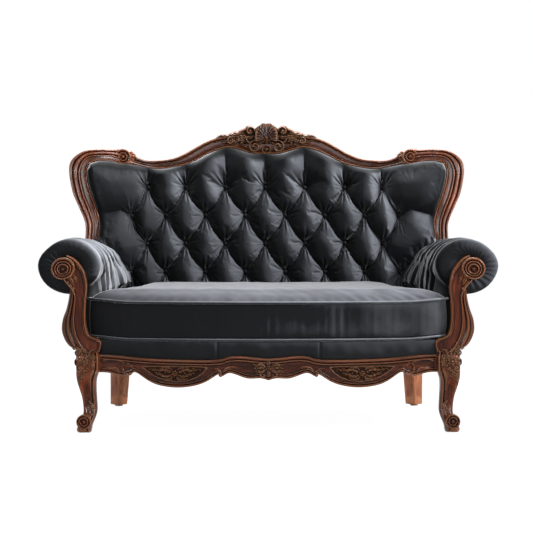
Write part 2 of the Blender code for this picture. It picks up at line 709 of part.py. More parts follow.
def arm_pad(name, side):
    # The padding over the arm, with soft pleats down its inner face behind the plain front.
    # Its outer half runs on past the back post, and the wing's foot passes through it
    rings = []
    post_side = BACK_POST_X + BACK_POST_WIDTH / 2.0
    end = rear_plane(post_side, ROLL_Z) - SLACK
    for y in np.concatenate([ARM_FRONT_Y + ARM_ROUNDING * np.array([0.0, 0.4, 1.5]),
                             np.linspace(ARM_FRONT_Y + 0.06, ARM_REAR_Y, 18),
                             [ARM_REAR_Y + 0.3 * (end - ARM_REAR_Y), end]]):
        into = max(0.0, 1.0 - (y - ARM_FRONT_Y) / (1.5 * ARM_ROUNDING))
        share = (y - ARM_FRONT_Y - 0.10) / (ARM_REAR_Y - ARM_FRONT_Y - 0.10)
        pleat = abs(math.sin(math.pi * ARM_PLEATS * share)) ** 0.6 if 0.0 < share < 1.0 else 0.0
        bore = ARM_RAIL_RADIUS if y < end else 0.2 * ARM_RAIL_RADIUS
        section = arm_section(y, ARM_ROUNDING * into**2, ARM_PLEAT_DEPTH * pleat, bore)
        rings.append([(side * x, y, z) for x, z in section])
    item = loft(name, rings, VELVET, 0.85)
    low, high = (0.3, ARM_REAR_Y, 0.2), (post_side + SLACK, end + 0.05, ROLL_Z + 0.2)
    behind = box(name + "_rear_cutter", (min(side * low[0], side * high[0]), *low[1:]),
                 (max(side * low[0], side * high[0]), *high[1:]), VELVET, bevel=0.0)
    boolean(item, behind, "DIFFERENCE")
    boolean(item, box(name + "_foot_cutter", *wing_foot_box(side), VELVET, bevel=0.0), "DIFFERENCE")
    return item


def wing_foot_box(side):
    # The notch in the roll's padding through which the wing's foot reaches the arm rail
    inner, outer = WING_INNER[-1], WING_OUTER[-1]
    x = sorted((side * (inner[0] - 0.004), side * (outer[0] + 0.004)))
    middle = (inner[0] + outer[0]) / 2.0
    front = back_plane(middle, ROLL_Z) - 0.008
    rear = back_plane(inner[0], ROLL_Z + ROLL_FRONT_RADIUS) + WING_DEPTH + 0.008
    return (x[0], front, ROLL_Z), (x[1], rear, ROLL_Z + ROLL_FRONT_RADIUS)


def arm_rail(name, side):
    # A round rail inside the roll, from the arm post to the back post
    angles = np.linspace(0.0, 2.0 * math.pi, 16, endpoint=False)
    rings = []
    for y in (ARM_FRONT_Y, ARM_REAR_Y):
        x = roll_x(y) + ARM_RAIL_RADIUS * np.cos(angles)
        z = ROLL_Z + ARM_RAIL_RADIUS * np.sin(angles)
        place = y if y == ARM_FRONT_Y else np.min(post_face(x, z)) - SLACK / 2.0
        rings.append(np.column_stack([side * x, np.full(16, place), z]))
    return loft(name, rings, BEECH, 0.6)


def outside_arm(name, side):
    # The flat panel under the roll, from the front post past the back post to the outside back
    rings = []
    post_side = BACK_POST_X + BACK_POST_WIDTH / 2.0
    end = rear_plane(post_side, ROLL_Z - ROLL_REAR_HEIGHT)
    for y in np.append(np.linspace(ARM_FRONT_Y, ARM_REAR_Y, 4), (0.5 * (ARM_REAR_Y + end), end)):
        top = ROLL_Z - roll_height(y) - GAP
        x = max(side_face(y), post_side + SIDE_PANEL / 2.0 + GAP)
        rings.append([(side * a, y, z) for a, z in (
            (x - SIDE_PANEL / 2.0, SIDE_RAIL_TOP + GAP), (x + SIDE_PANEL / 2.0, SIDE_RAIL_TOP + GAP),
            (x + SIDE_PANEL / 2.0, top), (x - SIDE_PANEL / 2.0, top))])
    return loft(name, rings, VELVET, 0.9)


def arm_post(name, side):
    # The carved front of the arm: a fluted stem that rises into a scroll
    back = ARM_FRONT_Y - GAP
    foot = LEG_TOP + GAP
    rings = []
    for share, inner, outer in through(POST_PROFILE, 19):
        z = foot + share * (POST_SCROLL_Z - foot)
        across = np.linspace(0.0, 1.0, 9)
        flute = 0.5 - 0.5 * np.cos(across * 4.0 * 2.0 * math.pi)
        front = back - POST_DEPTH + POST_FLUTE * flute * (across > 0.0) * (across < 1.0)
        ring = [(side * (inner + a * (outer - inner)), y, z) for a, y in zip(across, front)]
        ring += [(side * outer, back, z), (side * inner, back, z)]
        rings.append(ring)
    item = loft(name, rings, WALNUT)

    def height(share, t):
        turn = np.cos(2.0 * math.pi * (2.5 * share - t / (2.0 * math.pi)))
        return POST_DEPTH + POST_RELIEF * (0.4 + 0.25 * turn) * np.minimum(1.0, 4.0 * (1.02 - share)) + \
            POST_RELIEF * 0.5 * (share < 0.25)

    scroll = relief(name + "_scroll", (side * POST_SCROLL_X, POST_SCROLL_Z),
                    lambda t: POST_SCROLL_RADIUS + 0.0 * t, height,
                    lambda x, z: back - 0.0005 + 0.0 * x, rings=5, spokes=22)
    boolean(item, scroll, "UNION")
    return item


# Back frame

def frame_section(front, back, low, high, place):
    # A moulded rail's section: a bead, a cove and a bead from its low edge to its high edge
    share = np.array([0.0, 0.10, 0.25, 0.45, 0.62, 0.80, 0.94, 1.0])
    sink = np.array([0.35, 0.0, 0.12, 0.55, 0.62, 0.10, 0.0, 0.4]) * 0.012
    points = [place(low + a * (high - low), front + b) for a, b in zip(share, sink)]
    return points + [place(high, back), place(low, back)]


def crest_rail():
    rings = []
    end = EAR_X - EAR_RADIUS - GAP
    for x in np.linspace(-end, end, 41):
        low, high = height_on(CREST_FOOT, x), height_on(CREST_TOP, x)

        def place(share, depth, x=x, low=low, high=high):
            z = low + share * (high - low)
            return (x, back_plane(x, z) + depth, z)

        rings.append(frame_section(0.0, BACK_DEPTH, 0.0, 1.0, place))
    return loft("crest_rail", rings, WALNUT)


def wing_frame(name, side):
    rings = []
    inner, outer = through(WING_INNER, 23), through(WING_OUTER, 23)
    foot = ROLL_Z + ARM_RAIL_RADIUS + GAP
    inner[-1, 1] = outer[-1, 1] = foot + 0.001
    for a, b in zip(inner, outer):

        def place(share, depth, a=a, b=b):
            x, z = a + share * (b - a)
            return (side * x, back_plane(x, z) + depth, z)

        rings.append(frame_section(0.0, WING_DEPTH, 0.0, 1.0, place))
    return loft(name, rings, WALNUT)


def ear_scroll(name, side):
    # The volute between the crest rail and the wing, with a bead in its eye
    def height(share, t):
        turn = np.cos(2.0 * math.pi * (2.0 * share - t / (2.0 * math.pi)))
        return EAR_DEPTH + 0.008 * (0.5 + 0.35 * turn) + 0.006 * (share < 0.2)

    rear = back_plane(EAR_X, EAR_Z) + EAR_DEPTH
    return relief(name, (side * EAR_X, EAR_Z), lambda t: EAR_RADIUS - GAP + 0.0 * t, height,
                  lambda x, z: rear + GAP + 0.0 * x, rings=6, spokes=20)


def upright(name, x_low, x_high, bottom, top, front_depth, side=1):
    # A post that fills the depth between the padding and the outside back panel
    rings = []
    for z in np.linspace(bottom, top, 11):
        ring = [(x, back_plane(x, z) + front_depth, z) for x in np.linspace(x_low, x_high, 4)]
        ring += [(x, rear_plane(x, z) - PANEL_THICKNESS - SLACK, z)
                 for x in np.linspace(x_high, x_low, 4)]
        rings.append([(side * x, y, z) for x, y, z in ring])
    return loft(name, rings, BEECH, 0.6)


def outside_wing(name, side):
    # The stuffed outside of the wing, between the wing frame and the outside back
    post_side = BACK_POST_X + BACK_POST_WIDTH / 2.0
    across, up = np.meshgrid(np.linspace(0.0, 1.0, 7), np.linspace(0.0, 1.0, 10))
    low, high = ROLL_Z + ROLL_REAR_HEIGHT + SLACK, WING_INNER[0][1] - SLACK
    z = low + up * (high - low)
    edge = through(WING_OUTER, 60)[::-1]
    outline = np.interp(z, edge[:, 1], edge[:, 0]) - 0.010
    x = post_side + GAP + across * (outline - post_side - GAP)
    front = back_plane(x, z) + WING_DEPTH + 2.0 * SLACK
    fullness = rear_plane(post_side, z) - back_plane(post_side, z) - WING_DEPTH - 2.0 * SLACK
    rear = front + fullness * np.sqrt(1.0 - 0.96 * across**2)
    return slab(name, side * x, front, rear, z, VELVET, 0.9)


def back_post(name, side):
    half = BACK_POST_WIDTH / 2.0
    top = EAR_Z - EAR_RADIUS - GAP
    return upright(name, BACK_POST_X - half, BACK_POST_X + half, RAIL_BOTTOM, top, POST_FRONT, side)


def centre_stile():
    half = STILE_WIDTH / 2.0
    return upright("centre_stile", -half, half, TACK_RAIL_Z + TACK_RAIL_HEIGHT + GAP,
                   height_on(CREST_FOOT, 0.0) - GAP, PAD_BEHIND + GAP)


def tack_rail():
    # The lower rail of the back, to which the inside back cloth is tacked
    end = BACK_POST_X - BACK_POST_WIDTH / 2.0 - GAP
    x, z = np.meshgrid(np.linspace(-end, end, 31),
                       np.linspace(TACK_RAIL_Z, TACK_RAIL_Z + TACK_RAIL_HEIGHT, 3))
    front = back_plane(x, z) + POST_FRONT
    return slab("tack_rail", x, front, front + RAIL_WIDTH, z, BEECH, 0.6)


# Padding of the back

def pad_side(share):
    # The right edge of the back's padding: beside the arm, round the roll and inside the wing
    y = ARM_REAR_Y
    centre, radius, height = roll_x(y), roll_radius(y) + SLACK, roll_height(y) + SLACK
    wall = arm_inside(y) - SLACK - ARM_PLEAT_DEPTH
    points = [(wall, PAD_FOOT_Z), (wall, 0.45), (centre - radius, ROLL_Z)]
    points += [(centre + radius * math.cos(a), ROLL_Z + height * math.sin(a))
               for a in np.linspace(0.90, 0.60, 5) * math.pi]
    wing = through(WING_INNER, 37)[::-1]
    points += [(x - SLACK, z) for x, z in wing if ROLL_Z + height < z < WING_INNER[3][1]]
    points.append((WING_INNER[2][0] - 0.008, WING_INNER[2][1] - SLACK - 0.004))
    knots = np.array(points)
    length = np.append(0.0, np.cumsum(np.hypot(*np.diff(knots, axis=0).T)))
    place = share * length[-1]
    return np.array([np.interp(place, length, knots[:, 0]), np.interp(place, length, knots[:, 1])])


def tuft_height(x, z):
    # How far the padding stands out: diamonds between the buttons, pleats above and below
    up = (z - TUFT_TOP_Z) / (2.0 * TUFT_ROW)
    across = x / TUFT_SPACING
    low = -(TUFT_ROWS - 1) / 2.0
    up = np.clip(up, low, 0.0)
    a = np.abs(np.sin(math.pi * (across + up))) * np.abs(np.sin(math.pi * (across - up)))
    button = np.exp(-((np.sin(math.pi * (across + up))) ** 2 + np.sin(math.pi * (across - up)) ** 2) / 0.10)
    puff = TUFT_PLEAT + (TUFT_BULGE - TUFT_PLEAT) * a**0.45 - (TUFT_PLEAT - 0.002) * button
    plain = TUFT_BULGE * 0.62
    wing = smooth((np.abs(x) - 0.50) / 0.08)
    return puff * (1.0 - wing) + plain * wing


def back_pad():
    columns, rows = 20, 18
    grid = []
    corner = pad_side(1.0)
    for j in range(rows + 1):
        v = j / rows
        edge = pad_side(v)
        line = []
        for i in range(columns + 1):
            u = i / columns
            base = np.array([u * corner[0], PAD_FOOT_Z + v * (corner[1] - PAD_FOOT_Z)])
            side_pull = edge - np.array([corner[0], base[1]])
            here = u * corner[0]
            lift = (back_top(here) if here < EAR_X + EAR_RADIUS else corner[1]) - corner[1]
            a, b = max(0.0, (u - 0.45) / 0.55) ** 1.5, max(0.0, (v - 0.5) / 0.5) ** 1.5
            line.append(base + a * side_pull + np.array([0.0, b * lift]))
        grid.append(line)
    half = np.array(grid)
    mirrored = half[:, :0:-1].copy()
    mirrored[:, :, 0] *= -1.0
    sheet = np.concatenate([mirrored, half], axis=1)
    x, z = sheet[..., 0], sheet[..., 1]
    inset = np.minimum(np.minimum(np.arange(rows + 1), np.arange(rows, -1, -1))[:, None],
                       np.minimum(np.arange(2 * columns + 1), np.arange(2 * columns, -1, -1))[None, :])
    rise = tuft_height(x, z) * np.minimum(1.0, 0.2 + 0.5 * inset)
    front = back_plane(x, z) - rise
    rear = back_plane(x, z) + PAD_BEHIND
    return slab("back_pad", x, front, rear, z, VELVET, 0.85)


def outside_back():
    # The cloth-covered panel behind the posts, from the rear rail to the crest
    across, up = np.meshgrid(np.linspace(-1.0, 1.0, 37), np.linspace(0.0, 1.0, 10))
    reach = BACK_POST_X + BACK_POST_WIDTH / 2.0
    x = across * reach
    z = RAIL_BOTTOM + up * (back_top(x) - RAIL_BOTTOM)
    rear = rear_plane(x, z)
    return slab("outside_back", x, rear - PANEL_THICKNESS, rear, z, VELVET, 0.9)


# Carvings

def crest_face(x, z):
    return back_plane(x, z) - 0.0005


def crest_carving():
    # A fan shell whose nine flutes spread from its hinge, over an oval boss in a raised rim
    def fan(t):
        return np.abs(np.sin(4.5 * (t - math.pi / 2.0) + math.pi / 2.0))

    def shell_reach(t):
        upper = np.clip(np.sin(t), 0.0, None)
        return CREST_SHELL_RADIUS * (0.41 + 0.59 * upper + 0.07 * upper * fan(t))

    def shell_height(share, t):
        return 0.006 + 0.010 * np.sin(math.pi * (0.15 + 0.7 * share)) * (0.45 + 0.55 * fan(t))

    def boss_reach(t):
        return 1.0 / np.sqrt((np.cos(t) / CREST_BOSS_WIDTH) ** 2 + (np.sin(t) / CREST_BOSS_HEIGHT) ** 2)

    def boss_height(share, t):
        rim = np.exp(-((share - 0.82) / 0.12) ** 2)
        return 0.006 + 0.009 * np.sqrt(np.clip(1.0 - (share / 0.72) ** 2, 0.0, 1.0)) + 0.007 * rim

    shell = relief("crest_carving", (0.0, CREST_SHELL_Z), shell_reach, shell_height, crest_face,
                   rings=5, spokes=45)
    boss = relief("crest_boss", (0.0, CREST_BOSS_Z), boss_reach, boss_height, crest_face, rings=5, spokes=24)
    boolean(shell, boss, "UNION")
    return shell


def leaf_reach(length, height, lobes):
    def reach(t):
        oval = 1.0 / np.sqrt((np.cos(t) / length) ** 2 + (np.sin(t) / height) ** 2)
        return oval * (0.90 + 0.10 * np.abs(np.sin(lobes * t / 2.0)))
    return reach


def leaf_height(rise, lobes):
    def height(share, t):
        vein = 0.6 + 0.4 * np.abs(np.sin(lobes * t / 2.0))
        return CARVING_BASE + rise * np.sin(math.pi * (0.12 + 0.80 * share)) * vein
    return height


def crest_leaf(name, side):
    return relief(name, (side * CREST_LEAF_X, CREST_LEAF_Z),
                  leaf_reach(CREST_LEAF_LENGTH, CREST_LEAF_HEIGHT, 10), leaf_height(0.010, 10),
                  crest_face, rings=3, spokes=30)


def apron_field(x, z):
    return apron_face(x) + APRON_FIELD - GAP


def apron_carving(name, x, z, length, height, lobes):
    return relief(name, (x, z), leaf_reach(length, height, lobes), leaf_height(0.008, lobes),
                  apron_field, rings=4, spokes=30)


def knee_carving(name, side):
    # A rosette on the leg's block, above the leaves of the knee
    def reach(t):
        return KNEE_RADIUS * (0.90 + 0.10 * np.abs(np.sin(4.0 * t)))

    def height(share, t):
        petal = 0.5 + 0.5 * np.abs(np.sin(4.0 * t))
        return CARVING_BASE + 0.009 * np.sin(math.pi * (0.2 + 0.75 * share)) * petal + 0.006 * (share < 0.3)

    z = (RAIL_BOTTOM + 0.35 * RAIL_HEIGHT + LEG_TOP) / 2.0
    return relief(name, (side * LEG_X, z), reach, height,
                  lambda x, z: LEG_FRONT_Y + 0.0 * x, rings=4, spokes=28)


# Assembly

def build():
    for word, side in (("left", -1), ("right", 1)):
        front_leg(f"{word}_front_leg", side)
        rear_leg(f"{word}_rear_leg", side)
        glide(f"{word}_front_glide", side * (LEG_X + FRONT_GLIDE_OUT), LEG_FRONT_Y + FRONT_GLIDE_BACK,
              FRONT_GLIDE_HEIGHT)
        glide(f"{word}_rear_glide", side * (REAR_LEG_X + REAR_LEG_LEAN), REAR_LEG_Y + REAR_LEG_SPLAY,
              GLIDE_HEIGHT)
        side_rail(f"{word}_side_rail", side)
        corner_block(f"{word}_front_corner_block", side, True)
        corner_block(f"{word}_rear_corner_block", side, False)
        arm_post(f"{word}_arm_post", side)
        arm_rail(f"{word}_arm_rail", side)
        arm_pad(f"{word}_arm_pad", side)
        outside_arm(f"{word}_outside_arm", side)
        wing_frame(f"{word}_wing_frame", side)
        outside_wing(f"{word}_outside_wing", side)
        ear_scroll(f"{word}_ear_scroll", side)
        back_post(f"{word}_back_post", side)
        knee_carving(f"{word}_knee_carving", side)
        crest_leaf(f"{word}_crest_leaf", side)
        apron_carving(f"{word}_apron_carving", side * APRON_LEAF_X, APRON_LEAF_Z, APRON_LEAF_LENGTH,
                      APRON_LEAF_HEIGHT, 12)
    front_apron()
    front_rail()
    rear_rail()
    centre_brace()
    dust_cover()
    clip_strip("front_clip_strip", True)
    clip_strip("rear_clip_strip", False)
    for k in range(SPRING_COUNT):
        seat_spring(f"seat_spring_{k + 1}", (k - (SPRING_COUNT - 1) / 2.0) * SPRING_SPACING)
    deck()
    deck_border()
    loose = [seat_cushion(), piping("cushion_top_piping", True), piping("cushion_bottom_piping", False)]
    slide_axis("cushion_slide", (0.0, APRON_Y, DECK_TOP), loose)
    crest_rail()
    centre_stile()
    tack_rail()
    back_pad()
    outside_back()
    crest_carving()
    apron_carving("centre_apron_carving", 0.0, CENTRE_LEAF_Z, CENTRE_LEAF_LENGTH, CENTRE_LEAF_HEIGHT, 8)


build()
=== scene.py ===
import math
import time

import bpy
import numpy as np
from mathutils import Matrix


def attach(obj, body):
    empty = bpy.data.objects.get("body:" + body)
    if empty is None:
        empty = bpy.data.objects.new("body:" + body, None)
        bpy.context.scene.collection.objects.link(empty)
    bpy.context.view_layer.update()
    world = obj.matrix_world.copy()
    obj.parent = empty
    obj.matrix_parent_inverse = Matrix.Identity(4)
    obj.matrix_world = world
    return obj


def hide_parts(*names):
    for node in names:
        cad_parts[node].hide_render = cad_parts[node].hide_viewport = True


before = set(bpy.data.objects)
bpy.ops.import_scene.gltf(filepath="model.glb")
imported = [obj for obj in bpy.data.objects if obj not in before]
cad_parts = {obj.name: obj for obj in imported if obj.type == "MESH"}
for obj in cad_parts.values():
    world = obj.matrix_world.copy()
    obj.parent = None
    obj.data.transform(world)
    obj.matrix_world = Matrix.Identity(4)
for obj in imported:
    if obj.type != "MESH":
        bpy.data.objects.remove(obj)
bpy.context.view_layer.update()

# A velvet chesterfield with a carved walnut show frame. Metres, X to the right, Y to the rear, Z up.
# Left is negative X, and side = -1 or 1 says which half a piece belongs to.

pi = math.pi
sides = (("left", -1), ("right", 1))


# Numbers and curves

def smooth(share):
    # 0 to 1 with no slope at either end
    share = np.clip(share, 0.0, 1.0)
    return share * share * (3.0 - 2.0 * share)


def line(*lengths, side=1):
    # Points (x, z) in metres from pairs of millimetres
    return [(side * x / 1000.0, z / 1000.0) for x, z in zip(lengths[::2], lengths[1::2])]


def through(points, count):
    # Catmull-Rom curve through the points, as count points evenly spread over them
    knots = np.array(points, float)
    place = np.linspace(0.0, len(knots) - 1.0, count)
    start = np.minimum(place.astype(int), len(knots) - 2)
    t = (place - start)[:, None]
    before, after = knots[np.maximum(start - 1, 0)], knots[np.minimum(start + 2, len(knots) - 1)]
    here, there = knots[start], knots[start + 1]
    leave, arrive = (there - before) / 2.0, (after - here) / 2.0
    return (here * (2 * t**3 - 3 * t**2 + 1) + leave * (t**3 - 2 * t**2 + t)
            + there * (3 * t**2 - 2 * t**3) + arrive * (t**3 - t**2))


def even(curve, count):
    # The same curve with its points at equal lengths along it
    length = np.append(0.0, np.cumsum(np.linalg.norm(np.diff(curve, axis=0), axis=1)))
    place = np.linspace(0.0, length[-1], count)
    return np.column_stack([np.interp(place, length, curve[:, k]) for k in range(curve.shape[1])])


def heightOn(points, x):
    # The height at |x| of the smooth curve through (x, z) points
    curve = through(points, 16 * len(points))
    return np.interp(np.abs(x), curve[:, 0], curve[:, 1])


def bump(value, centre, half):
    # A round bead: the upper half of an ellipse, 1 high at its centre and 0 at half away from it
    return np.sqrt(np.clip(1.0 - ((value - centre) / half) ** 2, 0.0, 1.0))


def dip(value, centre, half):
    # A soft hollow: 1 at its centre, fading as a bell curve
    return np.exp(-((value - centre) / half) ** 2)


def ripple(x, y, seed):
    # A calm uneven field from five crossing waves, about -1 to 1
    total = 0.0
    for k in range(5):
        a = seed * 1.7 + k * 2.4
        total = total + np.sin((x * math.cos(a) + y * math.sin(a)) * (1.0 + 0.37 * k) + 1.3 * k + seed)
    return total / 3.0


# Materials

def linear(code):
    # An sRGB hex colour as linear red, green, blue and alpha
    parts = np.array([int(code[k:k + 2], 16) for k in (1, 3, 5)]) / 255.0
    lin = np.where(parts <= 0.04045, parts / 12.92, ((parts + 0.055) / 1.055) ** 2.4)
    return (*[float(v) for v in lin], 1.0)


def node(tree, kind, settings=None, inputs=None, links=None):
    # One node with its settings, socket values and incoming links
    made = tree.nodes.new(kind)
    for key, value in (settings or {}).items():
        setattr(made, key, value)
    for key, value in (inputs or {}).items():
        made.inputs[key].default_value = value
    for key, source in (links or {}).items():
        tree.links.new(source, made.inputs[key])
    return made


def ramp(tree, source, stops):
    # A colour ramp from a factor, with (place, hex) stops
    made = node(tree, "ShaderNodeValToRGB", links={"Fac": source})
    band = made.color_ramp
    while len(band.elements) > 1:
        band.elements.remove(band.elements[-1])
    band.elements[0].position, band.elements[0].color = stops[0][0], linear(stops[0][1])
    for place, code in stops[1:]:
        band.elements.new(place).color = linear(code)
    return made.outputs["Color"]


def blank(name):
    material = bpy.data.materials.new(name)
    material.use_nodes = True
    tree = material.node_tree
    return material, tree, tree.nodes["Principled BSDF"]


def objectSpace(tree):
    return node(tree, "ShaderNodeTexCoord").outputs["Object"]


def attribute(tree, name):
    return node(tree, "ShaderNodeAttribute", {"attribute_name": name}).outputs["Fac"]


def noise(tree, where, scale, **inputs):
    return node(tree, "ShaderNodeTexNoise", inputs={"Scale": scale, **inputs}, links={"Vector": where}).outputs["Fac"]


def spread(tree, value, low, high, least=0.0, most=1.0):
    # A value from low to high carried over to least to most, and held there outside it
    ends = {"From Min": low, "From Max": high, "To Min": least, "To Max": most}
    return node(tree, "ShaderNodeMapRange", inputs=ends, links={"Value": value}).outputs[0]


def times(tree, value, factor):
    return node(tree, "ShaderNodeMath", {"operation": "MULTIPLY"}, {1: factor}, {0: value}).outputs[0]


def joined(tree, operation, a, b):
    return node(tree, "ShaderNodeMath", {"operation": operation}, links={0: a, 1: b}).outputs[0]


def mixed(tree, share, colour, code):
    # The colour, turned to the sRGB hex code by this share
    return node(tree, "ShaderNodeMix", {"data_type": "RGBA"}, {7: linear(code)}, {0: share, 6: colour}).outputs[2]


def relief(tree, shader, height, strength, distance):
    # Fine relief, distance metres high
    made = node(tree, "ShaderNodeBump", inputs={"Strength": strength, "Distance": distance}, links={"Height": height})
    tree.links.new(made.outputs[0], shader.inputs["Normal"])


def setInputs(shader, values):
    for key, value in values.items():
        shader.inputs[key].default_value = value


walnutLook = {
    "dark": "#180803", "middle": "#451c0e", "light": "#6e331b",   # streaks of the grain
    "recess": "#040201", "rub": "#8f6040",                        # painted shade in the hollows; lighter edges: painted highlight with rubbed wear
    "wear": 0.42, "grainWidth": 0.004, "roughness": 0.26, "specular": 0.06, "coat": 0.14,
}


def makeWalnut(name, along, carved=True, **shades):
    # Polished walnut under satin lacquer: red-brown with dark grain that runs along the piece,
    # hollows painted nearly black (painted shade) and edges painted lighter (painted highlight, with rubbed wear)
    look = {**walnutLook, **shades}
    material, tree, shader = blank(name)
    stretch = [1.0, 1.0, 1.0]
    stretch["xyz".index(along)] = 0.09
    space = node(tree, "ShaderNodeMapping", inputs={"Scale": stretch}, links={"Vector": objectSpace(tree)}).outputs[0]
    grain = noise(tree, space, 0.5 / look["grainWidth"], Detail=6.0, Roughness=0.62, Distortion=0.6)
    figure = noise(tree, space, 16.0, Detail=3.0)
    both = node(tree, "ShaderNodeMath", {"operation": "MULTIPLY_ADD"}, {1: 0.6},
                {0: grain, 2: times(tree, figure, 0.4)}).outputs[0]
    colour = ramp(tree, both, [(0.34, look["dark"]), (0.50, look["middle"]), (0.66, look["light"])])
    if carved:
        depth = attribute(tree, "recess")
        # Ridges painted lighter (painted highlight, with rubbed wear) and hollows painted nearly black (painted shade)
        worn = times(tree, spread(tree, depth, 0.40, 0.14), look["wear"])
        sunk = times(tree, spread(tree, depth, 0.53, 0.72), 0.88)
        colour = mixed(tree, sunk, mixed(tree, worn, colour, look["rub"]), look["recess"])
    tree.links.new(colour, shader.inputs["Base Color"])
    rough = spread(tree, both, 0.3, 0.7, look["roughness"] + 0.12, look["roughness"] - 0.06)
    tree.links.new(rough, shader.inputs["Roughness"])
    relief(tree, shader, noise(tree, space, 900.0, Detail=2.0), 0.25, 0.0004)    # pores
    setInputs(shader, {"IOR": 1.5, "Specular IOR Level": look["specular"], "Coat Weight": look["coat"],
                       "Coat Roughness": 0.17})
    return material


velvetLook = {
    # Painted light on the pile: faces turned away from the light (painted shade), level faces, faces turned to the
    # light, and faces full in it (painted highlight)
    "deep": "#060708", "cloth": "#18191b", "turned": "#393b3f", "brushed": "#6e7178",
    # Painted shade at the foot of the folds, then the pile's own sheen
    "hollow": "#020203", "sheen": "#eceef2", "roughness": 0.85, "sheenWeight": 1.0, "sheenRoughness": 0.30,
    "lie": (0.78, -0.28, 0.56),   # the way the painted light comes from: right, front and up
}


def makeVelvet(name, folds=True, **shades):
    # Cut-pile cotton velvet in charcoal: almost black head on, with a pale bloom where the eye
    # grazes the pile. Faces turned to the light, right and up, are painted lighter and faces turned away darker
    # (painted light and painted shade), and the foot of each fold is painted black (painted shade)
    look = {**velvetLook, **shades}
    material, tree, shader = blank(name)
    where = objectSpace(tree)
    patches = noise(tree, where, 9.0, Detail=4.0, Roughness=0.55, Distortion=0.4)
    # How far each face turns to the light, with a little random tone: painted light
    lie = joined(tree, "ADD", attribute(tree, "nap"), spread(tree, patches, 0.0, 1.0, -0.07, 0.07))
    colour = ramp(tree, lie, [(0.28, look["deep"]), (0.66, look["cloth"]), (0.83, look["turned"]),
                              (0.99, look["brushed"])])
    if folds:
        # The foot of each fold painted nearly black: painted shade
        sunk = times(tree, spread(tree, attribute(tree, "recess"), 0.53, 0.75), 0.85)
        colour = mixed(tree, sunk, colour, look["hollow"])
    tree.links.new(colour, shader.inputs["Base Color"])
    # The pile's tufts are about 0.4 mm apart; drawn at 1.2 mm so that they show at all
    relief(tree, shader, noise(tree, where, 420.0, Detail=3.0), 0.3, 0.0005)
    setInputs(shader, {"Roughness": look["roughness"], "Specular IOR Level": 0.03, "Sheen Weight": look["sheenWeight"],
                       "Sheen Roughness": look["sheenRoughness"], "Sheen Tint": linear(look["sheen"])})
    return material


def makeWeave(name, light, dark, spacing):
    # Plain-woven cotton or cambric: crossing threads of one spacing, matt
    material, tree, shader = blank(name)
    where = objectSpace(tree)
    waves = [node(tree, "ShaderNodeTexWave", {"bands_direction": way}, {"Scale": 0.16 / spacing, "Distortion": 0.3},
                  {"Vector": where}).outputs["Fac"] for way in ("X", "Y")]
    cross = joined(tree, "MULTIPLY", *waves)
    tree.links.new(ramp(tree, cross, [(0.1, dark), (0.7, light)]), shader.inputs["Base Color"])
    relief(tree, shader, cross, 0.4, 0.0004)
    setInputs(shader, {"Roughness": 0.92})
    return material


def makeBeech(name):
    # Planed beech, unpolished: pale straw with short darker flecks along the grain
    material, tree, shader = blank(name)
    space = node(tree, "ShaderNodeMapping", inputs={"Scale": (0.12, 1.0, 1.0)},
                 links={"Vector": objectSpace(tree)}).outputs[0]
    fleck = noise(tree, space, 260.0, Detail=5.0)
    tree.links.new(ramp(tree, fleck, [(0.35, "#a87a4c"), (0.52, "#c99e6d"), (0.7, "#d8b385")]),
                   shader.inputs["Base Color"])
    relief(tree, shader, fleck, 0.2, 0.0003)
    setInputs(shader, {"Roughness": 0.62})
    return material


def makeSteel(name):
    # Zinc-plated spring steel: dull grey, with fine drawing marks
    material, tree, shader = blank(name)
    marks = noise(tree, objectSpace(tree), 700.0, Detail=2.0)
    tree.links.new(ramp(tree, marks, [(0.3, "#8a8b8d"), (0.7, "#b4b5b8")]), shader.inputs["Base Color"])
    tree.links.new(spread(tree, marks, 0.0, 1.0, 0.28, 0.5), shader.inputs["Roughness"])
    setInputs(shader, {"Metallic": 1.0})
    return material


walnutAcross = makeWalnut("walnut_polished_across", "x")
walnutUp = makeWalnut("walnut_polished_upright", "z")
walnutDeep = makeWalnut("walnut_polished_depth", "y", carved=False)
walnutPale = makeWalnut("walnut_plain_legs", "z", dark="#42200f", middle="#71402a", light="#9a6443", rub="#a06c48")
# A darker copy of the walnut for the carvings (painted shade), with a stronger painted highlight on their ridges
walnutCarved = makeWalnut("walnut_carved_dark", "x", dark="#0e0502", middle="#2b1209", light="#4d2413", rub="#7c583f",
                          wear=0.55)
# A nearly black walnut behind the crest's carving: painted shade
walnutGround = makeWalnut("walnut_sunk_ground", "x", dark="#060302", middle="#120906", light="#20110a", rub="#2c180e",
                          roughness=0.6, specular=0.02, coat=0.0)
# A lighter, glossier copy for the wings: painted light
walnutWing = makeWalnut("walnut_polished_wings", "z", middle="#582616", light="#86432b", coat=0.22, specular=0.08)
# A darker copy for the posts: painted shade
walnutPost = makeWalnut("walnut_polished_posts", "z", dark="#130602", middle="#3c180c", light="#612c18", rub="#8a5c3c")
# A nearly black walnut for the apron's sunk panels: painted shade
walnutPanel = makeWalnut("walnut_sunk_panel", "x", dark="#0a0402", middle="#1f0e07", light="#351a0f", rub="#4a2a1a",
                         roughness=0.5, specular=0.03, coat=0.03)
# A darker copy for the apron: painted shade
walnutApron = makeWalnut("walnut_polished_apron", "x", dark="#110502", middle="#33150b", light="#552818", rub="#7c5238")
velvet = makeVelvet("velvet_cotton_charcoal")
# Flat panels, with a dimmer painted highlight than the folded velvet
velvetFlat = makeVelvet("velvet_cotton_flat", folds=False, brushed="#4b4d52")
# The seat: its boxing painted darker (painted shade) and its top lighter (painted light)
velvetSeat = makeVelvet("velvet_cotton_seat", folds=False, cloth="#131416", turned="#4c4e53")
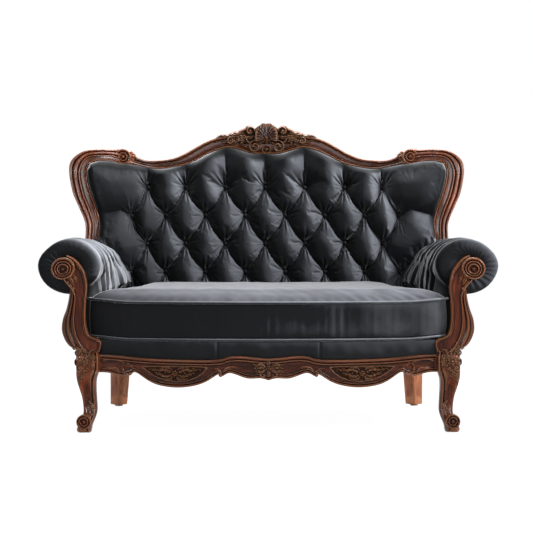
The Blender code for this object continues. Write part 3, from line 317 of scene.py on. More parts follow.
# The left arm painted lighter with more sheen (painted light), the right arm darker with little sheen (painted shade)
velvetLeft = makeVelvet("velvet_cotton_left_arm", turned="#45474c", brushed="#6a6d73", sheenWeight=0.75)
velvetRight = makeVelvet("velvet_cotton_right_arm", turned="#3d3f44", brushed="#56595f", sheenWeight=0.26)
# Cords painted lighter: painted highlight
velvetCord = makeVelvet("velvet_cotton_cord", folds=False, deep="#121315", cloth="#2e3033", turned="#74777d",
                        brushed="#a4a7ae")
cambric = makeWeave("cambric_black_glazed", "#1c1c1e", "#0a0a0b", 0.0012)
calico = makeWeave("calico_deck_charcoal", "#2c2c30", "#131315", 0.0016)
beech = makeBeech("beech_planed")
steel = makeSteel("steel_zinc_plated")
print("materials made")


# Meshes from arrays

def shellFaces(count, size, loop):
    # Quads between count rings of size points; a loop joins the last ring to the first, and
    # otherwise strips of quads close both ends
    index = np.arange(count * size).reshape(count, size)
    turned = np.roll(index, -1, axis=1)
    if loop:
        after = np.roll(index, -1, axis=0)
        return np.stack([index, turned, np.roll(after, -1, axis=1), after], axis=-1).reshape(-1, 4)
    sides = np.stack([index[:-1], turned[:-1], turned[1:], index[1:]], axis=-1).reshape(-1, 4)
    k = np.arange(size // 2 - 1)
    cap = np.column_stack([k, k + 1, size - 2 - k, size - 1 - k])
    return np.vstack([sides, index[0][cap][:, ::-1], index[-1][cap]])


def volumeOf(points, quads):
    # Six times the volume inside: the triple product of every triangle's corners
    a, b, c, d = (points[quads[:, k]] for k in range(4))
    return float(np.einsum("ij,ij->", a, np.cross(b, c)) + np.einsum("ij,ij->", a, np.cross(c, d)))


def recessOf(points, quads, reach):
    # How far each point lies below the mean of its surroundings, along the surface's normal:
    # 0.5 on flat ground, up to 1 in a hollow reach deep and down to 0 on such a ridge; the hollows are painted darker
    # by it (painted shade). With it goes how far the surface faces the way the painted light comes from, from 0 to 1,
    # by which the velvet is painted lighter (painted light)
    ends = np.vstack([quads[:, [0, 1]], quads[:, [1, 2]], quads[:, [2, 3]], quads[:, [3, 0]]])
    total, axes = len(points), range(3)
    across = np.cross(points[quads[:, 2]] - points[quads[:, 0]], points[quads[:, 3]] - points[quads[:, 1]])
    normal = np.column_stack([sum(np.bincount(quads[:, k], across[:, axis], total) for k in range(4)) for axis in axes])
    normal /= np.maximum(np.linalg.norm(normal, axis=1, keepdims=True), 1e-12)
    degree = np.maximum(np.bincount(ends[:, 0], minlength=total) + np.bincount(ends[:, 1], minlength=total), 1)
    mean = points.copy()
    deep = np.zeros(total)
    for step in range(18):
        mean = np.column_stack([(np.bincount(ends[:, 0], mean[ends[:, 1], axis], total)
                                 + np.bincount(ends[:, 1], mean[ends[:, 0], axis], total)) / degree for axis in axes])
        if step in (5, 17):
            deep += 0.5 * np.einsum("ij,ij->i", mean - points, normal)
    lean = np.array(velvetLook["lie"])
    turned = 0.5 + 0.5 * normal @ (lean / np.linalg.norm(lean))
    return np.clip(0.5 + 0.5 * deep / max(reach, 1e-6), 0.0, 1.0).astype(np.float32), turned.astype(np.float32)


def piece(name, shells, material, body="frame", replaces=(), reach=0.0016, loop=False):
    # One mesh from closed shells of rings, each turned to face outwards, with its recess written on it
    points, quads, start = [], [], 0
    for rings in shells:
        rings = np.asarray(rings, float)
        flat = rings.reshape(-1, 3)
        faces = shellFaces(*rings.shape[:2], loop)
        if volumeOf(flat - flat.mean(axis=0), faces) < 0.0:
            faces = faces[:, ::-1]
        points.append(flat)
        quads.append(faces + start)
        start += len(flat)
    points, quads = np.vstack(points), np.vstack(quads)
    mesh = bpy.data.meshes.new(name)
    mesh.vertices.add(len(points))
    mesh.vertices.foreach_set("co", points.astype(np.float32).ravel())
    mesh.loops.add(quads.size)
    mesh.loops.foreach_set("vertex_index", quads.astype(np.int32).ravel())
    mesh.polygons.add(len(quads))
    mesh.polygons.foreach_set("loop_start", np.arange(0, quads.size, 4, dtype=np.int32))
    mesh.polygons.foreach_set("loop_total", np.full(len(quads), 4, np.int32))
    mesh.update(calc_edges=True)
    mesh.validate()
    for label, values in zip(("recess", "nap"), recessOf(points, quads, reach)):
        mesh.attributes.new(label, "FLOAT", "POINT").data.foreach_set("value", values)
    mesh.materials.append(material)
    mesh.shade_smooth()
    mesh.set_sharp_from_angle(angle=math.radians(62.0))
    item = bpy.data.objects.new(name, mesh)
    bpy.context.scene.collection.objects.link(item)
    if replaces:
        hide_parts(*replaces)
    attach(item, body)
    return item


def between(near, far):
    # Two faces of (rows, columns) points as rings that go up the near one and down the far one
    return np.concatenate([near, far[::-1]], axis=0).transpose(1, 0, 2)


def slabRings(x, front, rear, z):
    return between(np.stack([x, front, z], axis=-1), np.stack([x, rear, z], axis=-1))


def discRings(centre, radii, y, angles):
    # Rings of these radii about a centre in (x, z), each at its own y
    return np.stack([centre[0] + radii * np.cos(angles), y + 0.0 * angles, centre[1] + radii * np.sin(angles)], axis=-1)


def napOf(item):
    # A piece's attribute of how far it faces the painted light, its values and the x, y and z of its points
    nap = item.data.attributes["nap"].data
    values, places = np.empty(len(nap), np.float32), np.empty(len(nap) * 3, np.float32)
    nap.foreach_get("value", values)
    item.data.vertices.foreach_get("co", places)
    return nap, values, places.reshape(-1, 3).T


def mirrored(shells, side):
    return [np.asarray(rings, float) * (side, 1.0, 1.0) for rings in shells]


# Ornament: shapes given as (x, z, rise above a face), which face() then sets on that face

def strip(path, half, rise, count=9, section=None, sink=0.002):
    # A raised strip along a path in (x, z): its section across is a half ellipse or section(d), with
    # d from -1 to 1, half wide each way and rise high, both given at every point of the path
    path = np.asarray(path, float)
    along = np.gradient(path, axis=0)
    along /= np.maximum(np.linalg.norm(along, axis=1, keepdims=True), 1e-9)
    normal = np.column_stack([-along[:, 1], along[:, 0]])
    d = np.sin(np.linspace(-0.5, 0.5, count) * pi)
    half, rise = np.broadcast_to(half, len(path)), np.broadcast_to(rise, len(path))
    top = section(d) if section else np.sqrt(np.clip(1.0 - d**2, 0.0, 1.0))
    across = path[:, None, :] + normal[:, None, :] * (half[:, None] * d)[..., None]
    front = np.concatenate([across, (rise[:, None] * top)[..., None]], axis=-1)
    back = np.concatenate([across, np.full(across.shape[:2] + (1,), -sink)], axis=-1)
    return np.concatenate([front, back[:, ::-1]], axis=1)


def spiral(centre, outer, inner, start, turns, count=60):
    # A spiral from the outer to the inner radius; start is its first angle and turns may be negative
    share = np.linspace(0.0, 1.0, count)
    radius = outer + (inner - outer) * share**0.8
    angle = start + turns * 2.0 * pi * share
    return np.column_stack([centre[0] + radius * np.cos(angle), centre[1] + radius * np.sin(angle)])


def taper(count, first=0.3, last=0.3):
    # Full width along the middle, narrowing to these shares at the ends
    share = np.linspace(0.0, 1.0, count)
    return np.minimum(1.0, np.minimum(first + (1 - first) * smooth(share / 0.25),
                                      last + (1 - last) * smooth((1 - share) / 0.25)))


def leaf(points, width, rise, lobes=5, count=36):
    # An acanthus leaf along a curve: its edge swells into lobes, a rib runs along it and a flute into each lobe
    path = even(through(points, 60), count)
    share = np.linspace(0.0, 1.0, count)
    shape = np.sin(pi * share**0.75) ** 0.8 * (1.0 - 0.25 * share)
    edge = 0.70 + 0.30 * np.abs(np.sin(pi * lobes * share)) ** 0.6
    half = np.maximum(width * shape * edge, 0.0002)
    made = strip(path, half, 1.0, count=13)
    d = np.sin(np.linspace(-0.5, 0.5, 13) * pi)
    flute = 0.62 + 0.38 * np.abs(np.cos(pi * lobes * (share[:, None] - 0.10 * np.abs(d))))
    swell = (1.0 - np.abs(d) ** 3) * flute - 0.25 * np.exp(-(d / 0.14) ** 2)
    made[:, :13, 2] = rise * (0.30 + 0.70 * np.sin(pi * np.clip(share, 0.04, 0.96)))[:, None] * swell
    return made


def leaves(*rows, side=1, at=(0.0, 0.0)):
    # Leaves from rows in millimetres: width, rise, number of lobes, number of points, and x and z along its curve
    return [leaf([(at[0] + x, at[1] + z) for x, z in line(*curve, side=side)], width / 1000.0, rise / 1000.0, lobes,
                 count)
            for width, rise, lobes, count, *curve in rows]


def knob(centre, radius, rise, count=12, stretch=1.0):
    # A round or oval bead on the face
    share = np.sin(np.linspace(-0.49, 0.49, count) * pi)
    path = np.column_stack([centre[0] + 0.0 * share, centre[1] + radius * stretch * share])
    round_ = np.sqrt(np.clip(1.0 - share**2, 0.0004, 1.0))
    made = strip(path, radius * round_, 1.0, count=11)
    d = np.sin(np.linspace(-0.5, 0.5, 11) * pi)
    made[:, :11, 2] = rise * np.sqrt(np.clip(1.0 - share[:, None] ** 2 - (d * round_[:, None]) ** 2, 0.0, 1.0))
    return made


def knobs(*rows, side=1):
    # Beads from rows in millimetres: x and z of the centre, radius and rise
    return [knob((side * x / 1000.0, z / 1000.0), radius / 1000.0, rise / 1000.0) for x, z, radius, rise in rows]


def rosette(centre, radius, rise, petals=6):
    # Rounded petals about a bead
    parts = []
    for k in range(petals):
        a = 2.0 * pi * (k + 0.5) / petals
        reach = np.array([[0.25, 0.0], [0.6, 0.08], [1.0, 0.0]]) * radius
        turn = np.array([[math.cos(a), math.sin(a)], [-math.sin(a), math.cos(a)]])
        parts.append(leaf(np.array(centre) + reach @ turn, radius * 0.36, rise, lobes=1, count=14))
    return parts + [knob(centre, radius * 0.26, rise * 1.25)]


def setOn(parts, face, side=1):
    # Ornament in (x, z, rise) moved onto a face y = face(x, z), towards the front
    return [np.stack([side * p[..., 0], face(p[..., 0], p[..., 1]) - p[..., 2], p[..., 1]], axis=-1) for p in parts]


# Surfaces that several pieces share, the same as the frame's own

def apronFace(x):
    return -0.430 + 0.066 * (np.abs(x) / 0.634) ** 2


def onApron(lift):
    # A face this far behind the apron's own
    return lambda x, z: apronFace(x) + lift


def onBack(lift):
    return lambda x, z: backPlane(x, z) + lift


def level(y):
    return lambda x, z: y + 0.0 * x


def backPlane(x, z):
    across = smooth((np.abs(x) - 0.380) / 0.340)
    up = smooth((z - 0.220) / 0.380)
    return 0.345 + 0.237 * (z - 1.0) - 0.160 * across * up


def rearPlane(x, z):
    return backPlane(x, z) + 0.070 + 0.087 * np.maximum(0.950 - z, 0.0)


rollZ = 0.584        # middle of the arms' rolls
postSide = 0.625     # outer face of the back posts
armFront, armRear = -0.352, 0.140


def alongArm(y):
    return (y + 0.352) / 0.492


def rollX(y):
    return 0.695 - 0.048 * alongArm(y)


def rollRadius(y):
    return 0.108 - 0.023 * alongArm(y)


def rollHeight(y):
    return 0.094 - 0.023 * alongArm(y)


def armInside(y):
    return 0.526 + 0.1625 * (armRear - y) + 0.025 * np.clip(1.0 - alongArm(y), 0.0, None) ** 4


crestTop = line(0, 1062, 120, 1062, 189, 1053, 235, 1037, 280, 1012, 319, 990, 365, 971, 416, 963, 479, 964, 545, 992)
crestFoot = line(0, 986, 58, 990, 137, 1012, 189, 1004, 234, 986, 280, 961, 319, 945, 364, 935, 416, 928, 460, 932,
                 498, 941, 545, 954)
wingInner = line(600, 957, 640, 958, 672, 952, 687, 930, 684, 885, 666, 824, 646, 772, 634, 721, 637, 684, 640, 640)
wingOuter = line(600, 1002, 655, 1003, 707, 993, 748, 960, 756, 915, 741, 838, 718, 785, 697, 738, 689, 700, 690, 640)
apronTop = line(0, 263, 51, 267, 86, 271, 132, 270, 190, 258, 360, 259, 449, 263, 530, 270, 600, 273)
apronFoot = line(0, 186, 28, 193, 75, 193, 132, 211, 161, 200, 175, 206, 218, 180, 263, 165, 318, 159, 375, 165,
                 416, 180, 462, 209.5, 480, 204, 507, 196.5, 533, 201, 562, 207.5, 600, 208.5)


def backTop(x):
    # The upper edge of the padding, tucked a little behind the crest rail, the ear and the wing
    away = np.abs(x)
    under = heightOn(crestFoot, np.minimum(away, 0.498)) + 0.004
    beside = np.interp(away, [0.498, 0.530, 0.562, 0.600, 0.640, 0.678], [0.945, 0.950, 0.953, 0.961, 0.962, 0.951])
    return np.where(away < 0.498, under, beside)


# Padding that swells

def settle(shape, quads, held, pressure, reach, spare=0.0, frames=20):
    # Cloth under air pressure, held at some points: the sheet swells and wrinkles between them, and
    # no point moves further than reach. spare is the share of cloth beyond what lies flat
    scene = bpy.context.scene
    mesh = bpy.data.meshes.new("settling")
    mesh.from_pydata(shape.tolist(), [], quads.tolist())
    item = bpy.data.objects.new("settling", mesh)
    scene.collection.objects.link(item)
    item.vertex_groups.new(name="held").add([int(k) for k in np.flatnonzero(held)], 1.0, "REPLACE")
    cloth = item.modifiers.new("cloth", "CLOTH")
    cloth.point_cache.frame_start, cloth.point_cache.frame_end = 1, frames
    rules = cloth.settings
    rules.quality, rules.mass, rules.bending_stiffness = 5, 0.25, 0.25
    rules.use_pressure, rules.uniform_pressure_force = True, pressure
    rules.vertex_group_mass, rules.shrink_min = "held", -spare
    rules.effector_weights.gravity = 0.0
    for frame_ in range(1, frames + 1):
        scene.frame_set(frame_)
    after = item.evaluated_get(bpy.context.evaluated_depsgraph_get()).to_mesh()
    found = np.empty(len(after.vertices) * 3, np.float32)
    after.vertices.foreach_get("co", found)
    scene.frame_set(1)
    bpy.data.objects.remove(item)
    bpy.data.meshes.remove(mesh)
    moved = found.reshape(-1, 3) - shape
    size = np.maximum(np.linalg.norm(moved, axis=1, keepdims=True), 1e-9)
    return moved * (reach * np.tanh(size / reach) / size)


# Tufted back

tufting = {"spacing": 0.155, "row": 0.109, "topRow": 0.855, "middle": -0.006, "bulge": 0.050, "sag": 0.013,
           "round": 0.62,
           "crease": 0.46, "creaseReach": 0.046, "buttonRadius": 0.0085, "wrinkle": 0.0052,
           "pressure": 3.0, "reach": 0.012, "spare": 0.03}


def lattice(x, z):
    # Lattice coordinates p and q, both whole numbers at each button, and the offset from the nearest one
    t = tufting
    away = x - t["middle"]
    pulled = np.abs(away) + 0.0253 * np.clip((np.abs(away) - 0.40) / 0.12, 0.0, 1.4) ** 2
    across = np.sign(away) * pulled / t["spacing"]
    up = np.clip((z - t["topRow"]) / (2.0 * t["row"]), -2.0, 0.0)
    p, q = across + up, across - up
    dp, dq = p - np.round(p), q - np.round(q)
    dx = (dp + dq) / 2.0 * t["spacing"]
    dz = np.where(z > t["topRow"], z - t["topRow"], (dp - dq) * t["row"])
    return p, q, dx, dz


def tuftRise(x, z):
    # Height of the padding: puffs between the buttons, and creases from button to button that rise
    # half way and hang like scales. With it, the deep socket at each button and the gathers that fan
    # out above and below it
    t = tufting
    p, q = lattice(x, z)[:2]
    clear = 1.0 - (np.cos(pi * p) * np.cos(pi * q)) ** 2
    p, q, dx, dz = lattice(x, z + t["sag"] * clear * smooth((t["topRow"] - z) / 0.02))
    a, b = np.abs(np.sin(pi * p)), np.abs(np.sin(pi * q))
    puff = (a * b) ** t["round"]
    away = np.hypot(dx, dz)
    above = smooth((z - t["topRow"]) / 0.03)
    crease = t["crease"] * (1.0 - 0.45 * above) * (1.0 - np.exp(-(away / t["creaseReach"]) ** 2))
    angle = np.arctan2(dx, dz)
    which = np.round(p) * 2.1 + np.round(q) * 3.7
    fan = np.cos(angle * 15.0 + 2.0 * np.sin(which)) + 0.6 * np.cos(angle * 24.0 + which)
    upright = np.cos(angle)
    longer = 0.028 + 0.020 * np.clip(upright, 0.0, 1.0) + 0.012 * np.clip(-upright, 0.0, 1.0)
    strength = smooth(away / 0.016) * (0.15 + 0.85 * np.abs(upright) ** 1.5)
    gathers = t["wrinkle"] * fan * np.exp(-(away / longer) ** 2.0) * strength
    body = t["bulge"] * (crease + (1.0 - crease) * puff) + 0.0022 * ripple(x * 38.0, z * 38.0, 2.0) * puff
    detail = gathers - 0.014 * np.exp(-(away / 0.0165) ** 2)
    return body, detail * smooth((0.545 - np.abs(x)) / 0.01)


def lineAway(x, z, points):
    # Distance of each point from a polyline in (x, z)
    best = np.full(np.shape(x), 9.0)
    knots = even(through(points, 40), 14)
    for (ax, az), (bx, bz) in zip(knots[:-1], knots[1:]):
        ux, uz = bx - ax, bz - az
        t = np.clip(((x - ax) * ux + (z - az) * uz) / (ux * ux + uz * uz), 0.0, 1.0)
        best = np.minimum(best, np.hypot(x - ax - t * ux, z - az - t * uz))
    return best


wingCreases = [line(521, 746, 555, 764, 600, 762, 650, 745),
               line(523, 528, 560, 545, 600, 540),
               line(450, 960, 452, 905, 459, 855, 480, 800, 508, 764, 521, 746),
               line(521, 746, 505, 700, 474, 660, 458, 637),
               line(458, 637, 478, 590, 508, 552, 523, 528, 500, 470, 468, 419)]


def padSide(share):
    # The right edge of the back's padding: beside the arm, pressed on the roll and tucked behind the wing
    centre, radius, height = rollX(armRear), rollRadius(armRear) - 0.006, rollHeight(armRear) - 0.021
    wall = armInside(armRear) - 0.010
    points = [(wall, 0.330), (wall, 0.45), (centre - radius - 0.004, rollZ - 0.03)]
    points += [(centre + radius * math.cos(a), rollZ + height * math.sin(a))
               for a in np.linspace(0.90, 0.58, 5) * pi]
    wing = through(wingInner, 37)[::-1]
    points += [(x + 0.004, z) for x, z in wing if rollZ + height + 0.006 < z < 0.930]
    points.append((0.678, 0.951))
    knots = np.array(points)
    length = np.append(0.0, np.cumsum(np.hypot(*np.diff(knots, axis=0).T)))
    return np.interp(share * length[-1], length, knots[:, 0]), np.interp(share * length[-1], length, knots[:, 1])


def backPatch(columns, rows):
    # The padding's front seen straight on: an even grid whose right and top edges are pulled to the outline
    u, v = np.meshgrid(np.linspace(0.0, 1.0, columns), np.linspace(0.0, 1.0, rows))
    cornerX, cornerZ = (float(value) for value in padSide(1.0))
    edgeX, edgeZ = padSide(v)
    baseZ = 0.330 + v * (cornerZ - 0.330)
    lift = backTop(u * cornerX) - cornerZ
    a = np.clip((u - 0.45) / 0.55, 0.0, None) ** 1.5
    b = np.clip((v - 0.5) / 0.5, 0.0, None) ** 1.5
    x = u * cornerX + a * (edgeX - cornerX)
    z = baseZ + a * (edgeZ - baseZ) + b * lift
    inset = np.minimum(np.minimum(v, 1.0 - v) * 0.62, (1.0 - u) * 0.67)
    return [np.concatenate([sign * g[:, :0:-1], g], axis=1) for g, sign in ((x, -1.0), (z, 1.0), (inset, 1.0))]


def backRise(x, z, inset):
    # The tufted rise inside the outer buttons; outside them a pillow over each wing, full away from
    # its creases. The last millimetres of the edge turn in behind the wood, but not beside the arms
    beyond = np.abs(x - tufting["middle"])
    edge = np.interp(z, [0.33, 0.419, 0.528, 0.637, 0.746, 0.855, 0.96],
                     [0.500, 0.462, 0.523, 0.458, 0.521, 0.459, 0.450])
    wing = smooth((beyond - edge + 0.010) / 0.024)
    away = np.min([lineAway(beyond, z, points) for points in wingCreases], axis=0)
    pillow = 0.010 + 0.036 * (1.0 - np.exp(-(away / 0.040) ** 1.25)) + 0.0026 * ripple(x * 21.0, z * 17.0, 5.0)
    body, detail = tuftRise(x, z)
    rise = body * (1.0 - wing) + pillow * wing + detail
    wood = smooth((z - 0.650) / 0.02)
    inset = inset * (3.0 - 2.0 * wood)
    tuck = 1.0 - (1.0 - np.clip((inset - 0.004) / 0.026, 0.0, 1.0)) ** 2
    return rise * np.sqrt(tuck) - 0.016 * wood * (1.0 - smooth(inset / 0.006))


def makeBack():
    x, z, inset = backPatch(226, 215)
    front = backPlane(x, z) - backRise(x, z, inset)
    t = tufting
    # The swelling is worked out on every second point and carried to all of them
    began = time.time()
    cx, cz, cf, ci = (np.ascontiguousarray(g[::2, ::2]) for g in (x, z, front, inset))
    shape = np.stack([cx, cf, cz], axis=-1).reshape(-1, 3)
    index = np.arange(cx.size).reshape(cx.shape)
    quads = np.stack([index[:-1, :-1], index[:-1, 1:], index[1:, 1:], index[1:, :-1]], axis=-1).reshape(-1, 4)
    away = np.hypot(*lattice(cx, cz)[2:])
    held = (away < 0.008) & (cz < t["topRow"] + 0.01) & (np.abs(cx) < 0.535) | (ci < 0.012)
    moved = settle(shape, quads, held.ravel(), t["pressure"], t["reach"], t["spare"]).reshape(cx.shape + (3,))
    rows, columns = (np.linspace(0.0, n - 1.0, m) for n, m in zip(cx.shape, x.shape))
    low = np.minimum(rows.astype(int), cx.shape[0] - 2)
    left = np.minimum(columns.astype(int), cx.shape[1] - 2)
    r, c = (rows - low)[:, None, None], (columns - left)[None, :, None]
    moved = ((moved[low][:, left] * (1 - r) + moved[low + 1][:, left] * r) * (1 - c)
             + (moved[low][:, left + 1] * (1 - r) + moved[low + 1][:, left + 1] * r) * c)
    # Stretched smooth where it meets the show wood
    moved *= (1.0 - 0.85 * (1.0 - smooth((inset - 0.010) / 0.075)) * smooth((z - 0.66) / 0.02))[..., None]
    x, front, z = x + moved[..., 0], front + moved[..., 1], z + moved[..., 2]
    print(f"back settled in {time.time() - began:.0f} s, moved by {np.abs(moved).max() * 1000:.1f} mm at most")
    rings = slabRings(x, front, backPlane(x, z) + 0.030, z)
    back = piece("tufted_back", [rings], velvet, replaces=["back_pad"], reach=0.008)

    # The wings turn inwards as a whole; the painted light on them follows their folds more than that turn,
    # and the edge that turns in behind the wood is painted darker (painted shade)
    nap, values, (placeX, placeY, placeZ) = napOf(back)
    turned = (backPlane(placeX + 0.01, 0.8) - backPlane(placeX - 0.01, 0.8)) / 0.02
    values -= np.where(turned > 0.0, 0.29, 0.54) * turned / np.sqrt(1.0 + turned**2)
    border = values.reshape(x.shape[1], -1)[:, :x.shape[0]]
    border -= 0.5 * (1.0 - smooth((inset.T - 0.004) / 0.030)) * (z.T > 0.66)
    nap.foreach_set("value", values.astype(np.float32))

    # Buttons, row by row from the top, with x given for the right half
    wide, narrow = (0.0, 0.155, 0.31, 0.457), (0.0775, 0.2325, 0.3865, 0.518)
    spots = [(x0, t["topRow"] - row * t["row"]) for row, places in enumerate((wide, narrow, wide, narrow, wide[:3]))
             for x0 in places]
    share = np.append(np.linspace(0.02, 1.0, 7) * pi / 2.0, pi / 2.0)[:, None]
    radius, lift = t["buttonRadius"] * np.sin(share), 0.006 * np.cos(share)
    lift[-1] = -0.006
    angles = np.linspace(0.0, 2.0 * pi, 24, endpoint=False)
    shells = []
    for x0, z0 in spots:
        for side in ((1.0,) if x0 == 0.0 else (1.0, -1.0)):
            place = side * x0 + t["middle"]
            shells.append(discRings((place, z0), radius, float(backPlane(place, z0)) + 0.007 - lift, angles))
    piece("back_buttons", shells, velvet, reach=0.003)


makeBack()
print("tufted back made")


# Seat cushion

seat = {"low": 0.3268, "height": 0.1295, "crown": 0.0405, "pressure": 3.0, "reach": 0.004, "drawIn": 0.0035,
        "endLift": 0.009, "pipe": 0.0046, "corner": 0.020, "seam": 0.178}
seatMiddle = np.array([0.0, -0.140])


def outward(ring):
    # Unit directions in plan from the middle of the seat
    away = ring[:, :2] - seatMiddle
    return away / np.linalg.norm(away, axis=1, keepdims=True)


def cushionOutline(inset, count):
    # The plan of the cushion: a bowed front with quick corners, flared sides beside the arms and a straight rear
    sideGap = 0.0065 + inset
    frontY = -0.362 + inset
    halfFront = float(armInside(frontY)) - 0.0055 - inset
    half = [(share * halfFront, float(apronFace(share * halfFront)) + 0.003 + inset + seat["corner"] * share**22)
            for share in np.linspace(0.0, 0.975, 24)]
    half.append((halfFront, float(apronFace(halfFront)) + seat["corner"] + inset))
    half += [(float(armInside(y)) - sideGap - 0.010 * float(smooth(5.0 * alongArm(y))), y)
             for y in np.linspace(frontY + 0.05, 0.110 - inset, 14)]
    cornerX, rear = half[-1][0], 0.150 - inset
    half += [(cornerX - 0.012, rear - 0.014), (cornerX - 0.040, rear), (0.20, rear), (0.0, rear)]
    loop = np.array(half + [(-x, y) for x, y in half[-2:0:-1]])
    closed = np.vstack([loop, loop[:1]])
    length = np.append(0.0, np.cumsum(np.hypot(*np.diff(closed, axis=0).T)))
    place = np.linspace(0.0, length[-1], count, endpoint=False)
    plan = np.column_stack([np.interp(place, length, closed[:, k]) for k in (0, 1)])
    for step in range(2):   # rounds the corners a little
        plan = 0.5 * plan + 0.25 * (np.roll(plan, 1, axis=0) + np.roll(plan, -1, axis=0))
    return plan


def endLift(x):
    return seat["endLift"] * smooth((np.abs(x) - 0.48) / 0.15)


def cushionRing(inset, z, share=1.0, count=360):
    plan = seatMiddle + share * (cushionOutline(inset, count) - seatMiddle)
    return np.column_stack([plan, z + share**2 * endLift(plan[:, 0])])


def swelling(rings, held, pressure, reach, step=3):
    # How a cover of rings moves as cloth, worked out on every third point round it and carried to the rest
    part = rings[:, ::step]
    count, size = part.shape[:2]
    index = np.arange(count * size).reshape(count, size)
    turned = np.roll(index, -1, axis=1)
    quads = np.stack([index[:-1], turned[:-1], turned[1:], index[1:]], axis=-1).reshape(-1, 4)
    moved = settle(part.reshape(-1, 3), quads, np.repeat(held, size), pressure, reach).reshape(part.shape)
    place = np.arange(rings.shape[1]) / step
    low = place.astype(int)
    share = (place - low)[None, :, None]
    return moved[:, low] * (1.0 - share) + moved[:, (low + 1) % size] * share


def makeCushion():
    # Rings of its outline: under, up the boxing that draws in between its pipings, and in over the crown
    s = seat
    low, high = s["low"], s["low"] + s["height"]
    rings = [cushionRing(0.0, low - 0.0032, share) for share in (0.1, 0.4, 0.7, 0.9, 0.985)]
    for share in np.linspace(0.0, 1.0, 15):
        ring = cushionRing(s["drawIn"] * math.sin(pi * share), low + share * (high - low))
        x, y = ring[:, 0], ring[:, 1]
        pucker = 0.0009 * np.sin(np.arange(360) * 1.9) * ripple(x * 30.0, y * 30.0, 3.0)
        sink = 0.0034 * dip(np.abs(x), s["seam"], 0.0028) * (y < -0.2)
        sink -= 0.0095 * math.sin(pi * share) * smooth((np.abs(x) - 0.45) / 0.15)     # the ends of the boxing bulge
        sink = sink + pucker * (math.sin(pi * share) ** 0.5 if 0 < share < 1 else 0.0)
        ring[:, :2] -= outward(ring) * sink[:, None]
        rings.append(ring)
    for share in 1.0 - np.linspace(0.012, 0.965, 46) ** 1.35:
        ring = cushionRing(0.0, high, share)
        x, y = ring[:, 0], ring[:, 1]
        fromEdge = (1.0 / share - 1.0) * np.hypot(x, y + 0.14)
        ring[:, 2] += s["crown"] * (1.0 - np.clip(1.0 - fromEdge / 0.29, 0.0, 1.0) ** 7)
        ring[:, 2] += smooth((1.0 - share) / 0.10) * (0.0011 * ripple(x * 17.0, y * 26.0, 1.0)
                                                      + 0.0006 * ripple(x * 60.0, y * 70.0, 4.0))
        ring[:, 2] += 0.0008 * np.sin(np.arange(360) * 1.35) * dip(share, 0.965, 0.03)
        rings.append(ring)
    cover = np.array(rings)
    # The underside and both seams stay where they are
    began = time.time()
    row = np.arange(len(cover))
    cover = cover + swelling(cover, (row < 6) | (row == 19), s["pressure"], s["reach"])
    print(f"cushion settled in {time.time() - began:.0f} s")
    piece("seat_cushion_cover", [cover], velvetSeat, body="cushion", replaces=["seat_cushion"],
          reach=0.0)
    angles = np.linspace(0.0, 2.0 * pi, 12, endpoint=False)
    for name, z in (("cushion_top_piping", high), ("cushion_bottom_piping", low)):
        path = cushionRing(-0.0048, z, count=420)
        cord = s["pipe"] * (1.0 + 0.05 * np.sin(np.arange(420) * 2.0 * pi * 3.0 / 5.0))[:, None]
        section = [outward(path)[:, None, :] * (cord * np.cos(angles))[..., None], (cord * np.sin(angles))[..., None]]
        rings = path[:, None, :] + np.concatenate(section, axis=-1)
        piece(name + "_cord", [rings], velvetCord, body="cushion", replaces=[name], reach=0.0, loop=True)


makeCushion()
print("seat cushion made")


# Arms

arm = {"foldHeights": (0.46, 0.50, 0.553, 0.604, 0.655),
       "folds": [(-0.200, -0.200, -0.222, -0.300, -0.322), (-0.150, -0.155, -0.168, -0.236, -0.262),
                 (-0.072, -0.074, -0.086, -0.140, -0.186), (0.020, 0.016, 0.002, -0.052, -0.110),
                 (0.104, 0.098, 0.082, 0.026, -0.030)],
       "foldHeight": 0.0065, "gathers": 34, "ring": 0.020}


def foldRise(y, z):
    # Pleats across the arm behind its plain front: crisp ridges along the lines of arm["folds"],
    # steep towards the front and falling slowly to the rear, with a hollow before each
    total = 0.0
    for k, line in enumerate(arm["folds"]):
        gap = y - np.interp(z, arm["foldHeights"], line) - 0.003 * np.sin(z * 70.0 + 2.0 * k)
        ridge = np.exp(-(np.abs(gap) / np.where(gap < 0.0, 0.0065, 0.024)) ** 1.15)
        total = total + (0.85 + 0.15 * math.sin(k * 2.3 + 1.0)) * ridge - 0.75 * np.exp(-((gap + 0.016) / 0.010) ** 2)
    return total


def armSection(y, shrink):
    # Round the padding at one y: up the inner wall, over the roll and down to the panel below it
    centre, radius, height = rollX(y), rollRadius(y) - shrink, rollHeight(y) - shrink * 0.87
    inside = armInside(y) + np.minimum(shrink, 0.03)
    start = pi + math.acos(min(1.0, (centre - inside) / radius)) if centre - inside < radius else pi
    end = -math.acos(max(-1.0, -0.012 / radius))
    angles = np.linspace(start, end, 84)
    wall = np.linspace(0.0, 1.0, 26)[:-1]
    startX, startZ = centre + radius * math.cos(start), rollZ + height * math.sin(start)
    x = np.concatenate([inside + wall * (startX - inside), centre + radius * np.cos(angles)])
    z = np.concatenate([0.3003 + wall * (startZ - 0.3003), rollZ + height * np.sin(angles)])
    return x, z


